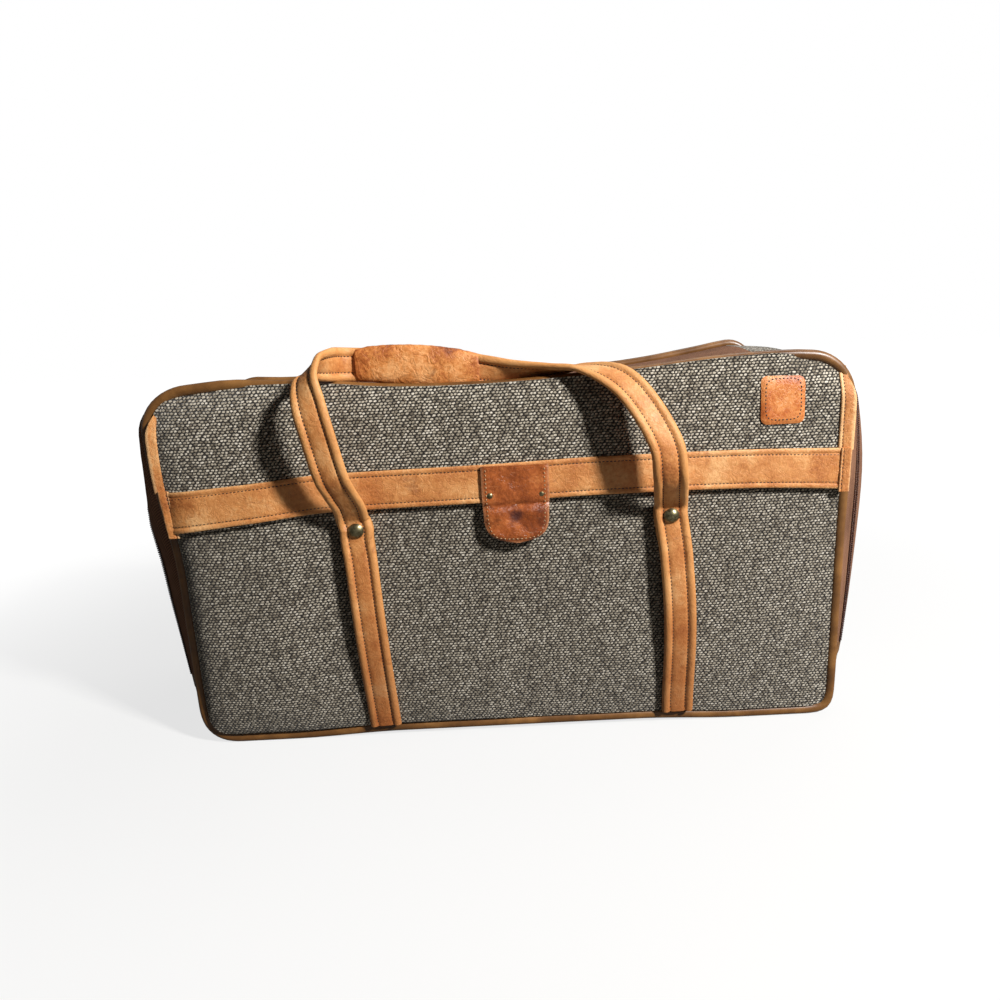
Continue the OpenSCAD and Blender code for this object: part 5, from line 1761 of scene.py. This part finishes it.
# the left half of the hanging handle's way, in rows like those of over_top, but x is from the rivet
rear_half = [
    [0, hang_out, -hang_rise, 1, 0, 0], [-0.5, 4, -20, 1, 0, 0], [-2, 6.5, -40, 1, 0, 0],
    [-3.5, 8, -72, 1, 0, 0], [-4, 11, -98, 0.9, 0.4, 0], [4, 14.5, -120, 0.5, 0.85, -0.2],
    [18, 14.5, -130, 0.05, 0.8, -0.6], [34, 12, -132, 0, 0.3, -0.95], [52, 10, -hang_drop, 0, 0, -1],
]
rear_controls = [[left_rivet_x + s[0]] + s[1:] for s in rear_half]
rear_controls.append([0, hang_middle_out, -hang_drop, 0, 0, -1])
rear_controls += [[right_rivet_x - s[0], s[1], s[2], -s[3], s[4], s[5]] for s in reversed(rear_half)]
rear_controls = [[s[0], s[1] + rear_pivot_y, s[2] + rivet_z, s[3], s[4], s[5]] for s in rear_controls]
hanging_way = frames_along(smooth_way(rear_controls, 6))
rear_handle = turn_out(sweep("rear_handle_leather", hanging_way, strap_section()))
fit(rear_handle, strap_leather, "rear_handle", ["rear_leg_left", "rear_leg_right", "rear_run"])
rear_stitches = set_along(
    "rear_handle_stitches",
    [line_on(hanging_way, side * groove_w, face * groove_h, 1, -1) for side in (-1, 1) for face in (-1, 1)],
    stitch, stitch_step, brown_thread, 0.08, 8,
)
fit(rear_stitches, None, "rear_handle")

# The rolled edges of the hanging handle end in two turned eyes beside each rivet.
eye_sides = 10
eye_vertices, eye_faces = [], []
roll_apart = strap_w / 2 - roll_r
for x in (
    left_rivet_x - roll_apart, left_rivet_x + roll_apart,
    right_rivet_x - roll_apart, right_rivet_x + roll_apart,
):
    top = Vector((x, rear_pivot_y, rivet_z))
    low = Vector((x, rear_pivot_y + hang_out, rivet_z - hang_rise - 1))
    run = (low - top).normalized()
    rings = [
        (top + run * roll_r * t, math.sqrt(max(0.02, 1 - t * t))) for t in (-0.95, -0.8, -0.4, 0.0)
    ]
    rings.append((low, 1.0))
    first = len(eye_vertices)
    for centre, share in rings:
        for k in range(eye_sides):
            a = 2 * math.pi * k / eye_sides
            eye_vertices.append(centre + Vector((math.cos(a), math.sin(a), 0)) * roll_r * share)
    for ring in range(len(rings) - 1):
        start = first + ring * eye_sides
        for k in range(eye_sides):
            a, b = start + k, start + (k + 1) % eye_sides
            eye_faces.append((a, b, b + eye_sides, a + eye_sides))
    last = first + (len(rings) - 1) * eye_sides
    eye_faces.append(tuple(first + k for k in reversed(range(eye_sides))))
    eye_faces.append(tuple(last + k for k in range(eye_sides)))
eyes = turn_out(plain_object("rear_handle_eyes", eye_vertices, eye_faces))
eyes.data.polygons.foreach_set("use_smooth", [True] * len(eyes.data.polygons))
# the eyes have the leather's pale edge all over
layer = eyes.data.uv_layers.new(name="cloth")
for loop in eyes.data.loops:
    layer.data[loop.index].uv = (0.0, 10 * MM)
fit(eyes, strap_leather, "rear_handle", ["rear_leg_ends"])

# Grips
# A sleeve of wrinkled orange-brown leather is wrapped over padding round the strap and sewn below.

grip_l, grip_half_h, grip_half_t = 94, 15.4, 7.2
grip_back = 26.4
# orange-brown leather of the grip, deeply creased, with dark stains
grip_stops = [(0.0, "#7A3C18"), (0.3, "#A85C28"), (0.55, "#CE8242"), (1.0, "#F2B274")]
grip_leather = make_leather(
    "wrinkled_grip_leather", grip_stops, "#DE9A5C", no_edge_start, no_edge_end, "#5E2E14", 0.5,
    crease=0.8, crease_size=13,
)


def grip_piece(name, x0, y, heights, seed):
    """A crowned sleeve along X, with creases in it and pinched ends; heights are its middle and two ends."""
    rings, around = 96, 64
    middle_z, left_z, right_z = heights
    vertices, faces, places = [], [], []
    for i in range(rings + 1):
        u = 2 * i / rings - 1
        lip = 1.0 if abs(u) < 0.98 else 0.94
        size = (1 - 0.24 * abs(u) ** 2.6) * lip
        x = x0 + grip_l * i / rings
        z = middle_z * (1 - u * u) + left_z * (u * u - u) / 2 + right_z * (u * u + u) / 2
        for k in range(around):
            a = 2 * math.pi * k / around
            c, s = math.cos(a), math.sin(a)
            on_skin = Vector((x / 11, c * 1.1 + seed, s * 1.3))
            ridge = abs(noise.noise(on_skin)) + 0.5 * abs(noise.noise(on_skin * 2.3))
            rise = 1 + (0.75 * ridge - 0.25 + 0.1 * noise.noise(on_skin * 0.5)) / 13
            vertices.append((
                x,
                y + grip_half_t * size * rise * math.copysign(abs(c) ** 0.6, c),
                z + grip_half_h * size * rise * math.copysign(abs(s) ** 0.8, s),
            ))
            places.append((grip_l * i / rings, grip_half_h * a))
    for i in range(rings):
        for k in range(around):
            n = (k + 1) % around
            faces.append((i * around + k, i * around + n, (i + 1) * around + n, (i + 1) * around + k))
    for ring, order in ((0, 1), (rings, -1)):
        inner = len(vertices)
        for k in range(around):
            x, py, pz = vertices[ring * around + k]
            depth = 3.0 if ring == 0 else -3.0
            z = left_z if ring == 0 else right_z
            vertices.append((x + depth, y + (py - y) * 0.62, z + (pz - z) * 0.9))
            places.append(places[ring * around + k])
        for k in range(around):
            n = (k + 1) % around
            faces.append((ring * around + k, inner + k, inner + n, ring * around + n)[::order])
        faces.append(tuple(inner + k for k in range(around))[::order])
    made = plain_object(name, vertices, faces)
    layer = made.data.uv_layers.new(name="cloth")
    for loop in made.data.loops:
        u, v = places[loop.vertex_index]
        layer.data[loop.index].uv = (u * MM, v * MM)
    made.data.polygons.foreach_set("use_smooth", [True] * len(made.data.polygons))
    made.data.set_sharp_from_angle(angle=math.radians(50))
    return turn_out(made)


front_grip_x = -112.5
front_grip_heights = (rivet_z + 122.4, rivet_z + 125, rivet_z + 116.9)
front_grip = grip_piece(
    "front_grip_leather", front_grip_x, front_pivot_y + grip_back, front_grip_heights, 1.0
)
fit(front_grip, grip_leather, "front_handle", ["front_grip"])
rear_grip = grip_piece(
    "rear_grip_leather", (left_rivet_x + right_rivet_x - grip_l) / 2, rear_pivot_y + hang_middle_out,
    (rivet_z - hang_drop,) * 3, 4.0,
)
fit(rear_grip, grip_leather, "rear_handle", ["rear_grip"])

for pattern in (stitch, short_stitch, patch_stitch):
    bpy.data.objects.remove(pattern)
